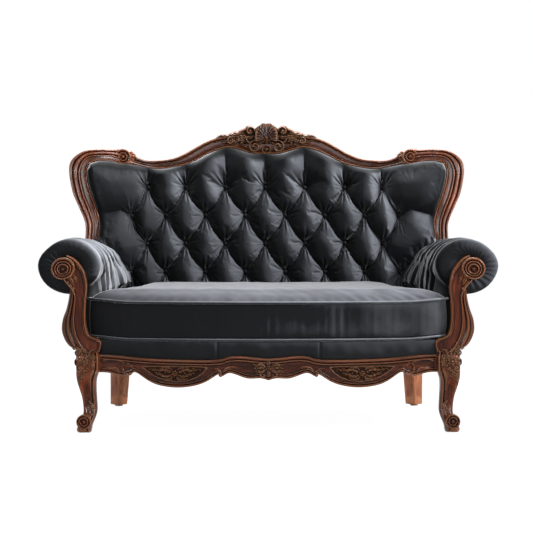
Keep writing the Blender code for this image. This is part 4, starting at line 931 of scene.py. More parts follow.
def makeArm(word, side):
    ends = float(rearPlane(postSide, rollZ)) - 0.003
    rows = 30
    f = np.linspace(0.0, 1.0, rows)
    shrinkFront = (0.108 - arm["ring"]) * (1.0 - f) ** 1.6
    domeY = -0.346 - 0.017 * np.sin(pi * f**0.8) ** 0.7 + 0.010 * f**8
    ys = np.concatenate([domeY, np.linspace(-0.334, armRear, 140)[1:], np.linspace(armRear, ends, 8)[1:]])
    shrinks = np.concatenate([shrinkFront, np.zeros(len(ys) - rows)])
    rings = []
    for k, (y, shrink) in enumerate(zip(ys, shrinks)):
        x, z = armSection(max(y, armFront), shrink)
        outX, outZ = -np.gradient(z), np.gradient(x)
        size = np.maximum(np.hypot(outX, outZ), 1e-9)
        outX, outZ = outX / size, outZ / size
        turn = np.linspace(0.0, 1.0, len(x))
        over = 1.0 - smooth((turn - 0.52) / 0.20)          # the folds die out over the top of the roll
        fold = arm["foldHeight"] * foldRise(y, z) * over
        fold = fold * smooth((y + 0.335) / 0.03) * (1.0 - smooth((y - 0.115) / 0.02))
        fold = np.where(z < 0.49, np.clip(fold, -0.012, 0.012) * (0.3 + 0.7 * smooth((z - 0.42) / 0.06)), fold)
        # The inner wall swells out over the cushion towards the back, where the top of the roll sinks
        lower = smooth((z - 0.474) / 0.018) * (1.0 - smooth((z - 0.505) / 0.105))
        full = 0.030 * smooth((y + 0.12) / 0.20) * lower * over
        full = full - 0.013 * smooth((y + 0.15) / 0.25) * np.clip(outZ, 0.0, 1.0) ** 2
        full = full + 0.010 * smooth((turn - 0.66) / 0.14)
        push = 0.0016 * ripple(y * 40.0 + 0.0 * z, z * 34.0, 3.0 + side) + fold * 0.8 + full - 0.001
        # Short creases between the pleats
        crinkled = over * smooth((z - 0.47) / 0.03) * smooth((y + 0.24) / 0.06)
        push = push + 0.0013 * crinkled * ripple(y * 95.0 + z * 55.0, z * 62.0 - y * 40.0, 9.0 + side)
        yy = np.full(len(x), y)
        if k < rows:
            # Gathers that fan out round the wooden scroll
            round_ = turn * 2.0 * pi
            wave = np.sin(round_ * arm["gathers"] + 1.4 * np.sin(turn * 31.0)) + 0.5 * np.sin(round_ * 57.0)
            wave = wave * (0.22 + 0.58 * smooth((turn - 0.60) / 0.2))
            yy = yy - 0.0024 * wave * np.sin(pi * min(1.0, f[k] * 0.9 + 0.02)) * (1.0 - 0.6 * f[k])
            push = push * f[k] + 0.0012 * wave * (f[k] > 0.6) * (1.0 - f[k]) * 2.0
        outer = np.column_stack([x + outX * push, yy, z + outZ * push])
        inner = np.column_stack([x - outX * 0.016, np.maximum(yy, -0.346), z - outZ * 0.016])
        rings.append(np.vstack([outer, inner[::-1]]))
    padding = piece(f"{word}_arm_padding", mirrored([rings], side), velvetLeft if side < 0 else velvetRight,
                    replaces=[f"{word}_arm_pad"], reach=0.008)

    # Beside the cushion the pile is painted dark (painted shade); over the right roll it is painted a little lighter
    # (painted light)
    nap, values, (x, y, z) = napOf(padding)
    front = 1.0 - smooth((y + 0.29) / 0.04)
    pressed = (1.0 - smooth((z - 0.465 - 0.055 * front) / 0.03)) * (np.abs(x) < 0.66)
    over = smooth((side * x - rollX(y) + 0.03) / 0.05) * (side > 0)
    nap.foreach_set("value", (values * (1.0 - 0.75 * pressed) + 0.05 * over).astype(np.float32))


for word, side in sides:
    makeArm(word, side)
print("arms made")


# Carved walnut: the crest rail and the wings

moulding = {"rise": 0.0068, "lowBead": 0.0042, "highBead": 0.0058, "fillet": 0.0020}


def mouldRise(low, high):
    # Rise of a rail's face at these distances from its two edges: a bead along each, a fillet
    # beside each bead, and a shallow cove between them
    m = moulding
    rise = m["rise"] * bump(low, m["lowBead"], m["lowBead"]) + m["rise"] * bump(high, m["highBead"], m["highBead"])
    rise = np.maximum(rise, 0.55 * m["rise"] * bump(low, 2.0 * m["lowBead"] + 0.0034, m["fillet"]))
    rise = np.maximum(rise, 0.60 * m["rise"] * bump(high, 2.0 * m["highBead"] + 0.0034, m["fillet"]))
    width = low + high
    return rise + 0.0016 * (2.0 * np.abs(low / np.maximum(width, 1e-6) - 0.5)) ** 2


def bandShell(inner, outer, face, rear, rise, count=44):
    # A band between two lines in (x, z): its front face follows rise(distances from both lines)
    t = np.linspace(0.0, 1.0, count)
    t = 0.5 - 0.5 * np.cos(pi * (0.12 + 0.76 * t)) / math.cos(0.12 * pi)
    xz = inner[:, None, :] * (1.0 - t)[None, :, None] + outer[:, None, :] * t[None, :, None]
    width = np.linalg.norm(outer - inner, axis=1)[:, None]
    lift = rise(t[None, :] * width, (1.0 - t)[None, :] * width)
    front = np.stack([xz[..., 0], face(xz[..., 0], xz[..., 1]) - lift, xz[..., 1]], axis=-1)
    shrunk = t[::-1][None, :, None]
    back = inner[:, None, :] * (1.0 - shrunk) + outer[:, None, :] * shrunk
    back = np.stack([back[..., 0], rear(back[..., 0], back[..., 1]), back[..., 1]], axis=-1)
    return np.concatenate([front, back], axis=1)


def makeCrestRail():
    x = np.linspace(-0.533, 0.533, 421)
    foot = np.column_stack([x, heightOn(crestFoot, x)])
    top = np.column_stack([x, heightOn(crestTop, x)])
    rail = bandShell(foot, top, onBack(moulding["rise"]), onBack(0.070), mouldRise)
    piece("crest_rail_moulded", [rail], walnutAcross, replaces=["crest_rail"])


def wingRise(low, high):
    # The wing's four bands: bead, cove, ridge, round and outer bead
    width = low + high
    t = low / np.maximum(width, 1e-6)
    rise = 0.0062 * bump(t, 0.065, 0.065)
    rise = np.maximum(rise, 0.0048 * bump(t, 0.185, 0.040))
    rise = np.maximum(rise, 0.0070 * bump(t, 0.46, 0.060))
    rise = np.maximum(rise, 0.0072 * bump(t, 0.675, 0.125))
    return np.maximum(rise, 0.0066 * bump(t, 0.915, 0.085)) + 0.002 * np.abs(t - 0.5)


def makeWing(word, side):
    inner = even(through(line(566, 944, 584, 951) + wingInner[:-1] + line(640, 619), 240), 230)
    outer = even(through(line(560, 1000, 580, 1002) + wingOuter[:-1] + line(692, 619), 240), 230)
    shells = [bandShell(inner, outer, onBack(0.0072), onBack(0.045), wingRise, count=60)]
    shells += setOn(leaves((10, 10, 3, 24, 543, 962, 532, 976, 520, 978, 505, 972),
                           (7, 9, 3, 20, 545, 990, 530, 992, 518, 985, 508, 980)), onBack(0.002))
    shells += setOn(leaves((6.2, 9.5, 4, 34, 590, 998, 572, 1001, 550, 998, 534, 990, 526, 974),
                           (8.5, 8, 3, 28, 534, 988, 524, 978, 521, 964, 530, 950))
                    + knobs((530, 956, 12.5, 5)), onBack(0.006))
    piece(f"{word}_wing_moulded", mirrored(shells, side), walnutWing, replaces=[f"{word}_wing_frame"])

    # The volute: rings of moulding about a bead, wound slightly so that they run into the wing's bands
    centre, size = (0.5565, 0.9745), 0.0305
    front = float(backPlane(*centre))
    phi = np.linspace(0.0, 2.0 * pi, 72, endpoint=False)
    r = np.concatenate([np.linspace(0.0004, 1.0, 30), [1.0, 0.9, 0.4, 0.01]])[:, None]
    wound = r + 0.07 * (phi / (2.0 * pi) - 0.5) * (r > 0.32)
    rise = 0.0135 * bump(wound, 0.0, 0.27) + 0.0075 * bump(wound, 0.50, 0.13) + 0.0085 * bump(wound, 0.86, 0.16)
    y = front - 0.001 - rise
    y[-3:] = front + 0.050
    piece(f"{word}_ear_volute", mirrored([discRings(centre, size * r, y, phi)], side), walnutWing,
          replaces=[f"{word}_ear_scroll"])


def fanShell(centre, reach, first, last, flutes, rise):
    # A scallop shell: rays spread from the hinge, each flute hollow between raised ribs, lip turned up
    phi = np.linspace(first, last, 150)
    r = np.linspace(0.03, 1.0, 30)
    turn = (phi - first) / (last - first) * flutes
    rib = np.abs(np.cos(pi * turn))
    lobe = 0.93 + 0.07 * np.abs(np.sin(pi * turn)) ** 0.5 - 0.08 * np.exp(-((phi - 0.5 * pi) / 0.07) ** 2)
    out = reach(phi) * lobe
    x = centre[0] + r[None, :] * (out * np.cos(phi))[:, None]
    z = centre[1] + r[None, :] * (out * np.sin(phi))[:, None]
    lift = rise * (0.35 + 0.75 * r[None, :] ** 1.2 - 0.30 * r[None, :] ** 6) * (0.87 + 0.13 * rib[:, None] ** 0.6)
    front = np.stack([x, z, lift], axis=-1)
    back = np.stack([x, z, np.full(x.shape, -0.003)], axis=-1)[:, ::-1]
    return np.concatenate([front, back], axis=1)


def crestOrnament():
    # Right half of the crest's carving, as (x, z, rise): C-scrolls round the cabochon, bud scrolls
    # beside the shell, and leaves that trail along the rail
    low = spiral((0.0460, 1.0160), 0.0262, 0.0080, 0.62 * pi, -1.35, 70)
    stem = through(line(82, 1052, 76, 1040, 66, 1033, 52, 1036), 24)[:-1]
    high = spiral((0.0640, 1.0785), 0.0185, 0.0080, 1.02 * pi, -0.95, 56)
    tail = through(line(80, 1086, 98, 1079, 114, 1066, 132, 1063), 30)
    bud = spiral((0.1410, 1.0405), 0.0150, 0.0070, 0.75 * pi, -1.1, 48)
    parts = [strip(path, half * taper(len(path), *ends), rise) for path, half, ends, rise in (
        (low, 0.0042, (0.5, 0.7), 0.0135), (stem, 0.0034, (0.5, 0.5), 0.0105), (high, 0.0048, (0.6, 0.7), 0.0150),
        (tail, 0.0062, (0.7, 0.3), 0.0125), (bud, 0.0042, (0.5, 0.7), 0.0125))]
    parts += knobs((50.5, 1018.5, 6.2, 12.5), (64, 1078.5, 7.2, 16.5), (141, 1040.5, 6.2, 12.5),
                   (98, 1031, 5, 10), (168, 1049.5, 4.2, 9), (24.5, 1029, 3.8, 10))
    return parts + leaves(
        (11, 13.5, 6, 36, 78, 1060, 98, 1070, 126, 1066, 158, 1056, 190, 1060),
        (6, 12, 5, 36, 46, 1078, 56, 1092, 72, 1094, 88, 1084, 106, 1074),
        (12.5, 13, 4, 36, 68, 1048, 90, 1055, 112, 1055, 130, 1061),
        (11.5, 12, 4, 36, 84, 1036, 104, 1045, 120, 1037, 130, 1024),
        (7.5, 9.5, 5, 36, 130, 1052, 150, 1054, 172, 1060, 199, 1052),
        (6, 8.5, 3, 36, 150, 1038, 162, 1034, 174, 1038, 186, 1046),
        (6, 8.5, 3, 36, 108, 1028, 120, 1020, 134, 1022, 146, 1026),
        (8, 11, 3, 36, 44, 1062, 56, 1056, 66, 1050, 80, 1050),
        (7.5, 11.5, 3, 36, 20, 1044, 32, 1048, 44, 1050, 56, 1048),
        (6.5, 11, 3, 36, 12, 1040, 20, 1034, 30, 1030, 36, 1022),
        (7, 9, 3, 36, 70, 1012, 82, 1018, 94, 1022, 108, 1020))


def makeCrestCarving():
    half = crestOrnament()
    for word, side in sides:
        piece(f"{word}_crest_leaves", setOn(half, onBack(0.0035), side), walnutCarved, replaces=[f"{word}_crest_leaf"])
    parts = [fanShell((0.0, 1.0500), lambda phi: 0.044 + 0.017 * np.clip(np.sin(phi), 0.0, 1.0) ** 1.5,
                      -0.10 * pi, 1.10 * pi, 13, 0.022)]
    parts += knobs((0, 1049, 5.5, 20)) + leaves((6, 15, 1, 18, 0, 1046, 0, 1040, 0, 1032, 0, 1026))
    for side in (-1, 1):
        parts += leaves((5.5, 14, 1, 18, 3, 1046, 10, 1041, 14, 1034, 13, 1027), side=side)
    ringPath = through([(0.0165 * math.cos(a), 1.0055 + 0.0150 * math.sin(a))
                        for a in np.linspace(0.5 * pi, 2.46 * pi, 24)], 64)
    parts += [strip(ringPath, 0.0030, 0.0135), knob((0.0, 1.0055), 0.0066, 0.0110, stretch=0.85)]
    # A thick ground behind the carving, from the rail up to the shell and the scrolls, nearly black: painted shade
    # behind the carving
    x = np.linspace(-0.112, 0.112, 91)
    topLine = np.column_stack([x, np.interp(np.abs(x), [0.0, 0.034, 0.046, 0.052, 0.064, 0.080, 0.098, 0.112],
                                            [1.100, 1.096, 1.086, 1.089, 1.092, 1.085, 1.074, 1.064])])
    footLine = np.column_stack([x, np.full(91, 1.030)])
    board = bandShell(footLine, topLine, onBack(-0.001), onBack(0.022),
                      lambda low, high: 0.002 * bump(high, 0.008, 0.008), count=24)
    piece("crest_ground", [board], walnutGround)
    piece("crest_shell_carved", setOn(parts, onBack(0.0035)), walnutCarved, replaces=["crest_carving"])


makeCrestRail()
for word, side in sides:
    makeWing(word, side)
makeCrestCarving()
print("crest and wings carved")


# Arm posts

post = {"front": -0.3815, "back": -0.3523, "eye": (0.716, 0.5705)}
postInner = line(590, 283, 586, 300, 585, 317, 594, 326, 610, 331, 628, 343, 637, 370, 640, 408, 638, 464, 634, 516,
                 641, 558, 657, 587, 679, 609, 702, 620)
postMiddle = line(612, 279, 622, 277, 634, 280, 644, 287, 655, 300, 668, 322, 677, 350, 682, 388, 679, 430, 676, 470,
                  685, 499, 702, 519, 714, 538, 712, 580)
postOuter = line(676, 288, 698, 302, 714, 326, 723, 358, 719, 396, 707, 430, 699, 462, 695, 490, 692, 508)
postStem = line(640, 286, 656, 300, 668, 322, 677, 350, 682, 388, 679, 430, 675, 465, 676, 488, 682, 505)


def postRise(low, high):
    # The panel of the post: a doubled bead along the inner edge, a hollow field, a bead outside
    rise = 0.0065 * bump(low, 0.0036, 0.0036)
    rise = np.maximum(rise, 0.0050 * bump(low, 0.0092, 0.0022))
    rise = np.maximum(rise, 0.0068 * bump(high, 0.0030, 0.0030))
    width = np.maximum(low + high, 1e-6)
    return rise + 0.0022 * (2.0 * np.abs(low / width - 0.5)) ** 2


def fluteRise(low, high):
    # The outer layer: three flutes that die away towards the edge, which falls back
    t = low / np.maximum(low + high, 1e-6)
    return 0.0048 * np.abs(np.sin(3.0 * pi * t)) ** 0.8 - 0.012 * smooth((t - 0.45) / 0.55) ** 2


def makePost(word, side):
    inner = even(through(postInner, 400), 190)
    middle = even(through(postMiddle, 400), 190)
    panel = bandShell(inner, middle, level(post["front"]), level(post["back"]), postRise, count=48)
    stem, outer = even(through(postStem, 300), 130), even(through(postOuter, 300), 130)
    flutes = bandShell(stem - (0.004, 0.0), outer, level(post["front"] + 0.003), level(post["back"]), fluteRise,
                       count=40)

    # The scroll: rings about a bead, inside an edge that is tighter below and runs wide on the inner side
    phi = np.linspace(-0.5 * pi, 1.5 * pi, 128, endpoint=False)
    edge = np.interp(phi, np.array([-0.5, -0.25, 0.0, 0.25, 0.5, 0.70, 0.90, 1.10, 1.30, 1.5]) * pi,
                     [0.0350, 0.0380, 0.0415, 0.0415, 0.0420, 0.0445, 0.0445, 0.0400, 0.0350, 0.0350])
    r = np.concatenate([np.linspace(0.01, 1.0, 52), [1.0, 0.6, 0.01]])[:, None]
    away = r * 0.0415
    rise = 0.0090 * bump(away, 0.0, 0.0082) + 0.0072 * bump(away, 0.0178, 0.0038) + 0.0064 * bump(away, 0.0270, 0.0032)
    rise = rise + 0.0085 * bump(away, 0.0366, 0.0049) + 0.0030 * bump(away, 0.0118, 0.0018)
    y = post["front"] - 0.0065 - rise
    y[-2:] = post["back"]
    carving = leaves((8.5, 9.5, 3, 26, 699, 548, 690, 540, 683, 524, 684, 510),
                     (6.5, 7, 3, 22, 690, 552, 678, 546, 670, 532, 668, 518),
                     (7, 7.5, 3, 22, 706, 531, 697, 522, 687, 508, 680, 492)) + knobs((680, 504, 4.8, 9))
    shells = [panel, flutes, discRings(post["eye"], r * edge, y, phi)] + setOn(carving, level(post["front"] - 0.001))
    piece(f"{word}_arm_post_carved", mirrored(shells, side), walnutPost, replaces=[f"{word}_arm_post"])


for word, side in sides:
    makePost(word, side)
print("arm posts carved")


# Apron

def apronRise(low, high):
    # A bead and fillet along the scalloped edge, and a wider round and a fillet along the top
    rise = 0.0062 * bump(low, 0.0046, 0.0046)
    rise = np.maximum(rise, 0.0034 * bump(low, 0.0128, 0.0022))
    rise = np.maximum(rise, 0.0064 * bump(high, 0.0060, 0.0060))
    return np.maximum(rise, 0.0046 * bump(high, 0.0164, 0.0032))


lobeMiddle = (0.3265, 0.2090)    # of each side lobe of the apron


def apronSpray(side):
    # The flower of one lobe: a rosette, two tendrils each way and small leaves and buds that fill the panel
    parts = rosette(lobeMiddle, 0.0130, 0.0095, 6)
    for d in (-1, 1):
        parts += leaves((5.8, 8.5, 6, 34, 12, 3, 36, 13, 62, 11, 94, 18),
                        (5.6, 8.5, 5, 34, 10, -6, 30, -10, 52, -3, 78, 8),
                        (5, 8, 4, 34, 6, -9, 18, -20, 36, -19, 54, -10),
                        (4.4, 8, 5, 34, 8, 10, 20, 19, 40, 21, 60, 20), side=d, at=lobeMiddle)
    spots = line(20, 3, 30, 19, 34, 2, 26, -14, 44, -10, 48, 16, 52, 5, 64, 2, 68, 18, 76, 11, 88, 14, 12, -22,
                 40, -19, 58, -4, 14, 19)
    for k, (a, b) in enumerate(spots):
        for d in (-1, 1):
            turn = 2.4 * k + 0.7 * d
            x, z = lobeMiddle[0] + d * a, lobeMiddle[1] + b
            parts.append(leaf([(x, z), (x + 0.004 * math.cos(turn), z + 0.003 * math.sin(turn)),
                               (x + 0.0085 * math.cos(turn + 0.5), z + 0.0062 * math.sin(turn + 0.5))],
                              0.0026, 0.0088, 1, 14))
            parts.append(knob((x, z), 0.0022 + 0.0006 * math.sin(3.1 * k), 0.0090))
    return setOn(parts, onApron(0.0052), side)


apronHalf = 0.5935    # half the width of the apron and of the border above it


def makeApron():
    x = np.linspace(-apronHalf, apronHalf, 561)
    foot = np.column_stack([x, heightOn(apronFoot, x)])
    top = np.column_stack([x, heightOn(apronTop, x)])
    rail = bandShell(foot, top, onApron(0.0062), onApron(0.026), apronRise, count=56)
    carving = []
    for s in (-1, 1):
        carving += knobs((483.5, 206.5, 6.8, 11.5), (166.5, 204.5, 7.2, 11), side=s)
        carving += leaves((6, 7.5, 3, 28, 490, 202, 506, 212, 509, 232, 494, 244),
                          (5.5, 7.2, 3, 24, 496, 246, 484, 236, 466, 234, 448, 240),
                          (7.5, 5, 2, 30, 520, 208, 536, 222, 560, 224, 582, 216),
                          (5.5, 6, 3, 20, 163, 210, 172, 220, 186, 226, 200, 224),
                          (7, 5.2, 2, 28, 158, 212, 146, 226, 124, 232, 94, 222), side=s)
        arch = through(line(588, 246, 560, 254.5, 525, 252, 500, 243, side=s), 50)
        carving.append(strip(arch, 0.0026 * taper(50, 0.6, 0.3), 0.0050))
    piece("front_apron_moulded", [rail] + setOn(carving, onApron(0.0055)), walnutApron, replaces=["front_apron"])

    # Each lobe holds a sunk panel, painted black (painted shade), inside a thin bead, and the flower stands on it
    across = np.linspace(0.214, 0.439, 91)
    low = np.interp(across, [0.214, 0.228, 0.250, 0.280, 0.318, 0.360, 0.395, 0.420, 0.439],
                    [0.2290, 0.2120, 0.1965, 0.1850, 0.1805, 0.1850, 0.1985, 0.2150, 0.2285])
    low = np.column_stack([across, low])
    high = np.column_stack([across, 0.2335 - 0.0030 * (np.abs(across - lobeMiddle[0]) / 0.1125) ** 6])
    panel = bandShell(low, high, onApron(0.0052), onApron(0.010), lambda below, above: 0.0, count=20)
    rim = strip(np.vstack([low, high[::-1]]), 0.0019, 0.0030)
    for word, side in sides:
        piece(f"{word}_apron_ground", mirrored([panel], side), walnutPanel)
        piece(f"{word}_apron_flower", apronSpray(side) + setOn([rim], onApron(0.0052), side), walnutCarved,
              replaces=[f"{word}_apron_carving"])
    centre = rosette((0.0, 0.2290), 0.0125, 0.0105, 5)
    centre += leaves((8, 9.5, 3, 20, 0, 240, 0, 248, 0, 258), (8, 9.5, 3, 20, 0, 218, 0, 208, 0, 194))
    for d in (-1, 1):
        centre += leaves((7.5, 9.5, 4, 28, 10, 232, 26, 242, 42, 240, 60, 246),
                         (7.2, 9, 4, 28, 10, 226, 24, 216, 40, 218, 56, 212),
                         (5, 9, 4, 28, 12, 229, 28, 230, 44, 229, 58, 232), side=d)
        tendril = spiral((d * 0.020, 0.2060), 0.0110, 0.0040, 0.5 * pi, -d * 0.9, 36)
        centre.append(strip(tendril, 0.0026 * taper(36), 0.0085))
        centre += knobs((30, 230, 5, 9), (46, 229, 3.6, 8), side=d)
    piece("centre_apron_flower", setOn(centre, onApron(0.0058)), walnutCarved, replaces=["centre_apron_carving"])


makeApron()
print("apron carved")


# Legs

# Height, inner edge, outer edge, front and rear of the front leg, in millimetres
legLines = np.array([
    (2.3, 620, 667, -410, -348), (11, 618, 670, -418, -342), (24, 616, 666, -414, -340), (40, 610, 656, -404, -340),
    (56, 604, 651, -392, -338), (78, 600, 649, -381, -334), (117.7, 602, 654, -378, -327),
    (149.7, 603.5, 663, -384, -324), (181.3, 602.5, 671, -392, -324), (203, 596.5, 673, -395, -322),
    (220, 590.5, 673, -394, -320), (260, 590, 672, -391, -317), (276, 592, 672, -383, -317),
    (299.5, 593.7, 672, -366, -317)]) / 1000.0


def squareness(z):
    # Exponent of the leg's rounded square: sharper corners at the knee than at the ankle
    return 0.42 + 0.20 * smooth((0.22 - z) / 0.10)


def legFace(lines, x, z):
    # Front of the leg: the rounded square of its row at this height
    inner, outer, front, rear = (np.interp(z, lines[:, 0], lines[:, k]) for k in range(1, 5))
    power = squareness(z)
    off = np.clip(np.abs(x - (inner + outer) / 2.0) * 2.0 / (outer - inner), 0.0, 0.985)
    return (front + rear) / 2.0 - (1.0 - off ** (2.0 / power)) ** (power / 2.0) * (rear - front) / 2.0


def makeLeg(word, side):
    # Rows of the leg: rounded squares between the inner, outer, front and rear lines, with a bead
    # down the inner front edge and a shallow hollow beside it
    lines = even(through(legLines, 600), 200)
    z, inner, outer, front, rear = (lines[:, k:k + 1] for k in range(5))
    angles = np.linspace(0.0, 2.0 * pi, 96, endpoint=False)
    c, s = np.cos(angles), np.sin(angles)
    power = squareness(z)
    across = np.sign(c) * np.abs(c) ** power
    along = np.sign(s) * np.abs(s) ** power
    x = (inner + outer) / 2.0 + across * (outer - inner) / 2.0
    y = (front + rear) / 2.0 + along * (rear - front) / 2.0
    facing = smooth((-along - 0.5) / 0.4)
    fromInner = x - inner
    shin = smooth((0.20 - z) / 0.05) * smooth((z - 0.075) / 0.03)
    y = y - facing * (0.0042 * bump(fromInner, 0.0068, 0.0042) - 0.0030 * bump(fromInner, 0.0145, 0.0035)
                      - 0.0040 * bump(fromInner / (outer - inner), 0.56, 0.28) * shin)
    shells = [np.stack([x, y, z + 0.0 * x], axis=-1)]

    # The foot's volute faces forward and overhangs the foot on its outer side
    centre, size = (0.6430, 0.0400), 0.0262
    phi = np.linspace(0.0, 2.0 * pi, 72, endpoint=False)
    r = np.concatenate([np.linspace(0.01, 1.0, 40), [1.0, 0.96, 0.9, 0.02]])[:, None]
    wound = r + 0.16 * (phi / (2.0 * pi) - 0.5) * (r > 0.34) * (r < 0.9)
    rise = 0.0090 * bump(wound, 0.0, 0.26) + 0.0064 * bump(wound, 0.53, 0.12) + 0.0070 * bump(wound, 0.86, 0.15)
    face = -0.4150 - rise * (0.35 + 0.65 * smooth((1.04 - r) / 0.10))
    face[-3:] = np.array([[-0.400], [-0.372], [-0.370]])
    shells.append(discRings(centre, size * r, face, phi))
    piece(f"{word}_front_leg_carved", mirrored(shells, side), walnutUp, replaces=[f"{word}_front_leg"])

    # A leaf up the ankle, and over the knee a flower, scrolls and a leaf that laps the foot of the post
    carving = leaves((10, 7, 4, 34, 622, 58, 611, 74, 617, 94, 633, 116),
                     (7, 6, 3, 26, 633, 64, 628, 78, 634, 88, 645, 95))
    carving += rosette((0.6430, 0.2500), 0.0190, 0.0085, 6)
    eyes = line(659, 225.5, 614, 264, 666, 279)
    for eye, (outside, inside, first, turns, count, half, rise) in zip(eyes, (
            (0.0140, 0.0050, 0.6, -1.3, 56, 0.0029, 0.0090), (0.0100, 0.0040, -0.2, 1.2, 44, 0.0024, 0.0080),
            (0.0110, 0.0040, -0.5, 1.2, 44, 0.0026, 0.0085))):
        path = spiral(eye, outside, inside, first * pi, turns, count)
        carving.append(strip(path, half * taper(count, 0.5, 0.7), rise))
    beads = line(605, 248, 615, 244, 624, 233, 633, 226, 644, 220, 625, 274, 640, 279, 652, 276)
    for place, radius in zip(eyes + beads, (0.0056, 0.0044, 0.0046, 0.0034, 0.0032, 0.0034, 0.0032, 0.0030,
                                            0.0034, 0.0036, 0.0030)):
        carving.append(knob(place, radius, radius * 1.75))
    carving += leaves(
        (5.6, 7.5, 3, 30, 622, 224, 642, 215, 658, 203, 668, 190),
        (5, 7, 3, 30, 636, 210, 652, 199, 663, 186, 668, 174),
        (4.4, 6.2, 2, 30, 646, 197, 657, 186, 664, 174, 665, 160),
        (8, 9, 4, 30, 636, 266, 642, 286, 658, 300, 676, 302),
        (8, 9, 4, 30, 648, 270, 662, 291, 675, 297, 688, 291),
        (5.6, 7.5, 3, 30, 630, 264, 622, 282, 612, 288, 600, 282),
        (6.2, 8.2, 3, 30, 656, 260, 668, 256, 676, 245, 673, 231),
        (4.8, 7, 3, 30, 626, 254, 616, 252, 606, 258, 601, 268),
        (4.6, 6.5, 3, 30, 628, 242, 618, 236, 610, 226, 612, 216))
    knee = lambda a, b: np.minimum(legFace(lines, a, b), np.where(b > 0.262, post["front"] - 0.0005, 9.0)) + 0.0006
    piece(f"{word}_knee_flower", mirrored(setOn(carving, knee), side), walnutCarved, replaces=[f"{word}_knee_carving"])

    # The rear leg: a square turned edge-on, its corners eased, leaning out to the rear
    share = np.linspace(0.0, 1.0, 30)[:, None]
    size = (0.0466 + share * 0.0112) / math.sqrt(2.0)
    norm = (np.abs(c) ** 1.16 + np.abs(s) ** 1.16) ** (1.0 / 1.16)
    x = 0.580 - 0.013 * share + size * c / norm
    y = 0.242 + (1.0 - share) * 0.050 + size * s / norm
    z = 0.0063 + share * 0.2084 + 0.0 * x
    piece(f"{word}_rear_leg_shaped", mirrored([np.stack([x, y, z], axis=-1)], side), walnutPale,
          replaces=[f"{word}_rear_leg"])


for word, side in sides:
    makeLeg(word, side)
print("legs carved")


# Upholstered borders and panels

def makeBorder():
    # The stuffed lip between the apron and the cushion: a low round section along the bow
    x = np.linspace(-apronHalf, apronHalf, 241)
    foot = heightOn(apronTop, x) + 0.0012
    t = np.linspace(0.0, 1.0, 24)[:, None]
    z = foot + t * (0.322 - foot)
    wave = 0.0008 * ripple(x[None, :] * 50.0, z * 30.0, 2.0)
    seam = 0.0030 * dip(np.abs(x), seat["seam"], 0.0030)
    front = apronFace(x) + 0.004 + seam - 0.0085 * bump(t, 0.5, 0.52) - wave * bump(t, 0.5, 0.5)
    rings = slabRings(np.broadcast_to(x, z.shape), front, np.broadcast_to(apronFace(x) + 0.034, z.shape), z)
    piece("deck_border_cover", [rings], velvetFlat, replaces=["deck_border"], reach=0.0)


def makeDeck():
    # The platform under the cushion: calico over hessian, a little domed by the springs
    loop = cushionOutline(0.004, 200)
    loop[:, 1] = np.maximum(loop[:, 1], apronFace(loop[:, 0]) + 0.0350)
    loop[:, 1] = np.minimum(loop[:, 1], 0.134)
    rings = [np.column_stack([seatMiddle + share * (loop - seatMiddle), np.full(200, z)]) for share, z in (
        (0.1, 0.2905), (0.6, 0.2905), (0.99, 0.2905), (1.0, 0.2925), (1.0, 0.3190), (0.985, 0.3216), (0.9, 0.3219),
        (0.5, 0.3222), (0.05, 0.3222))]
    piece("seat_deck_cover", [rings], calico, replaces=["seat_deck"], reach=0.0)


def rounded(share):
    # A quarter of a circle: 0 at the edge, 1 from share 1 on
    return np.sqrt(1.0 - (1.0 - np.minimum(1.0, share)) ** 2)


def makeOutsides():
    x, t = np.meshgrid(np.linspace(-postSide, postSide, 261), np.linspace(0.0, 1.0, 120))
    z = 0.2155 + t * (backTop(x) - 0.2155)
    edge = np.minimum(np.minimum(t, 1.0 - t) * 0.75, postSide - np.abs(x))
    soft = 0.0035 * rounded(edge / 0.03)
    rear = rearPlane(x, z) - 0.0035 + soft + 0.0006 * ripple(x * 20.0, z * 20.0, 7.0) * soft / 0.0035
    piece("outside_back_cover", [slabRings(x, rearPlane(x, z) - 0.005, rear, z)], velvetFlat,
          replaces=["outside_back"], reach=0.0)
    for word, side in sides:
        makeOutsideArm(word, side)
        makePostCover(word, side)
        makeOutsideWing(word, side)


def makeOutsideArm(word, side):
    ends = float(rearPlane(postSide, 0.494))
    y = np.concatenate([np.linspace(armFront, armRear, 60), np.linspace(armRear, ends, 12)[1:]])
    top = rollZ - rollHeight(y) + 0.001
    face = np.maximum(rollX(y) - 0.012, 0.6293) + 0.004
    u = np.linspace(0.0, 1.0, 34)[:, None]
    z = 0.2853 + u * (top - 0.2853)
    away = np.minimum(np.minimum(u, 1.0 - u) * 0.19, np.minimum(y - armFront, ends - y)[None, :])
    out = face[None, :] - 0.002 + 0.0040 * rounded(away / 0.02)
    y = np.broadcast_to(y, z.shape)
    rings = between(np.stack([out, y, z], axis=-1), np.stack([np.broadcast_to(face - 0.008, z.shape), y, z], axis=-1))
    piece(f"{word}_outside_arm_cover", mirrored([rings], side), velvetFlat,
          replaces=[f"{word}_outside_arm"], reach=0.0)


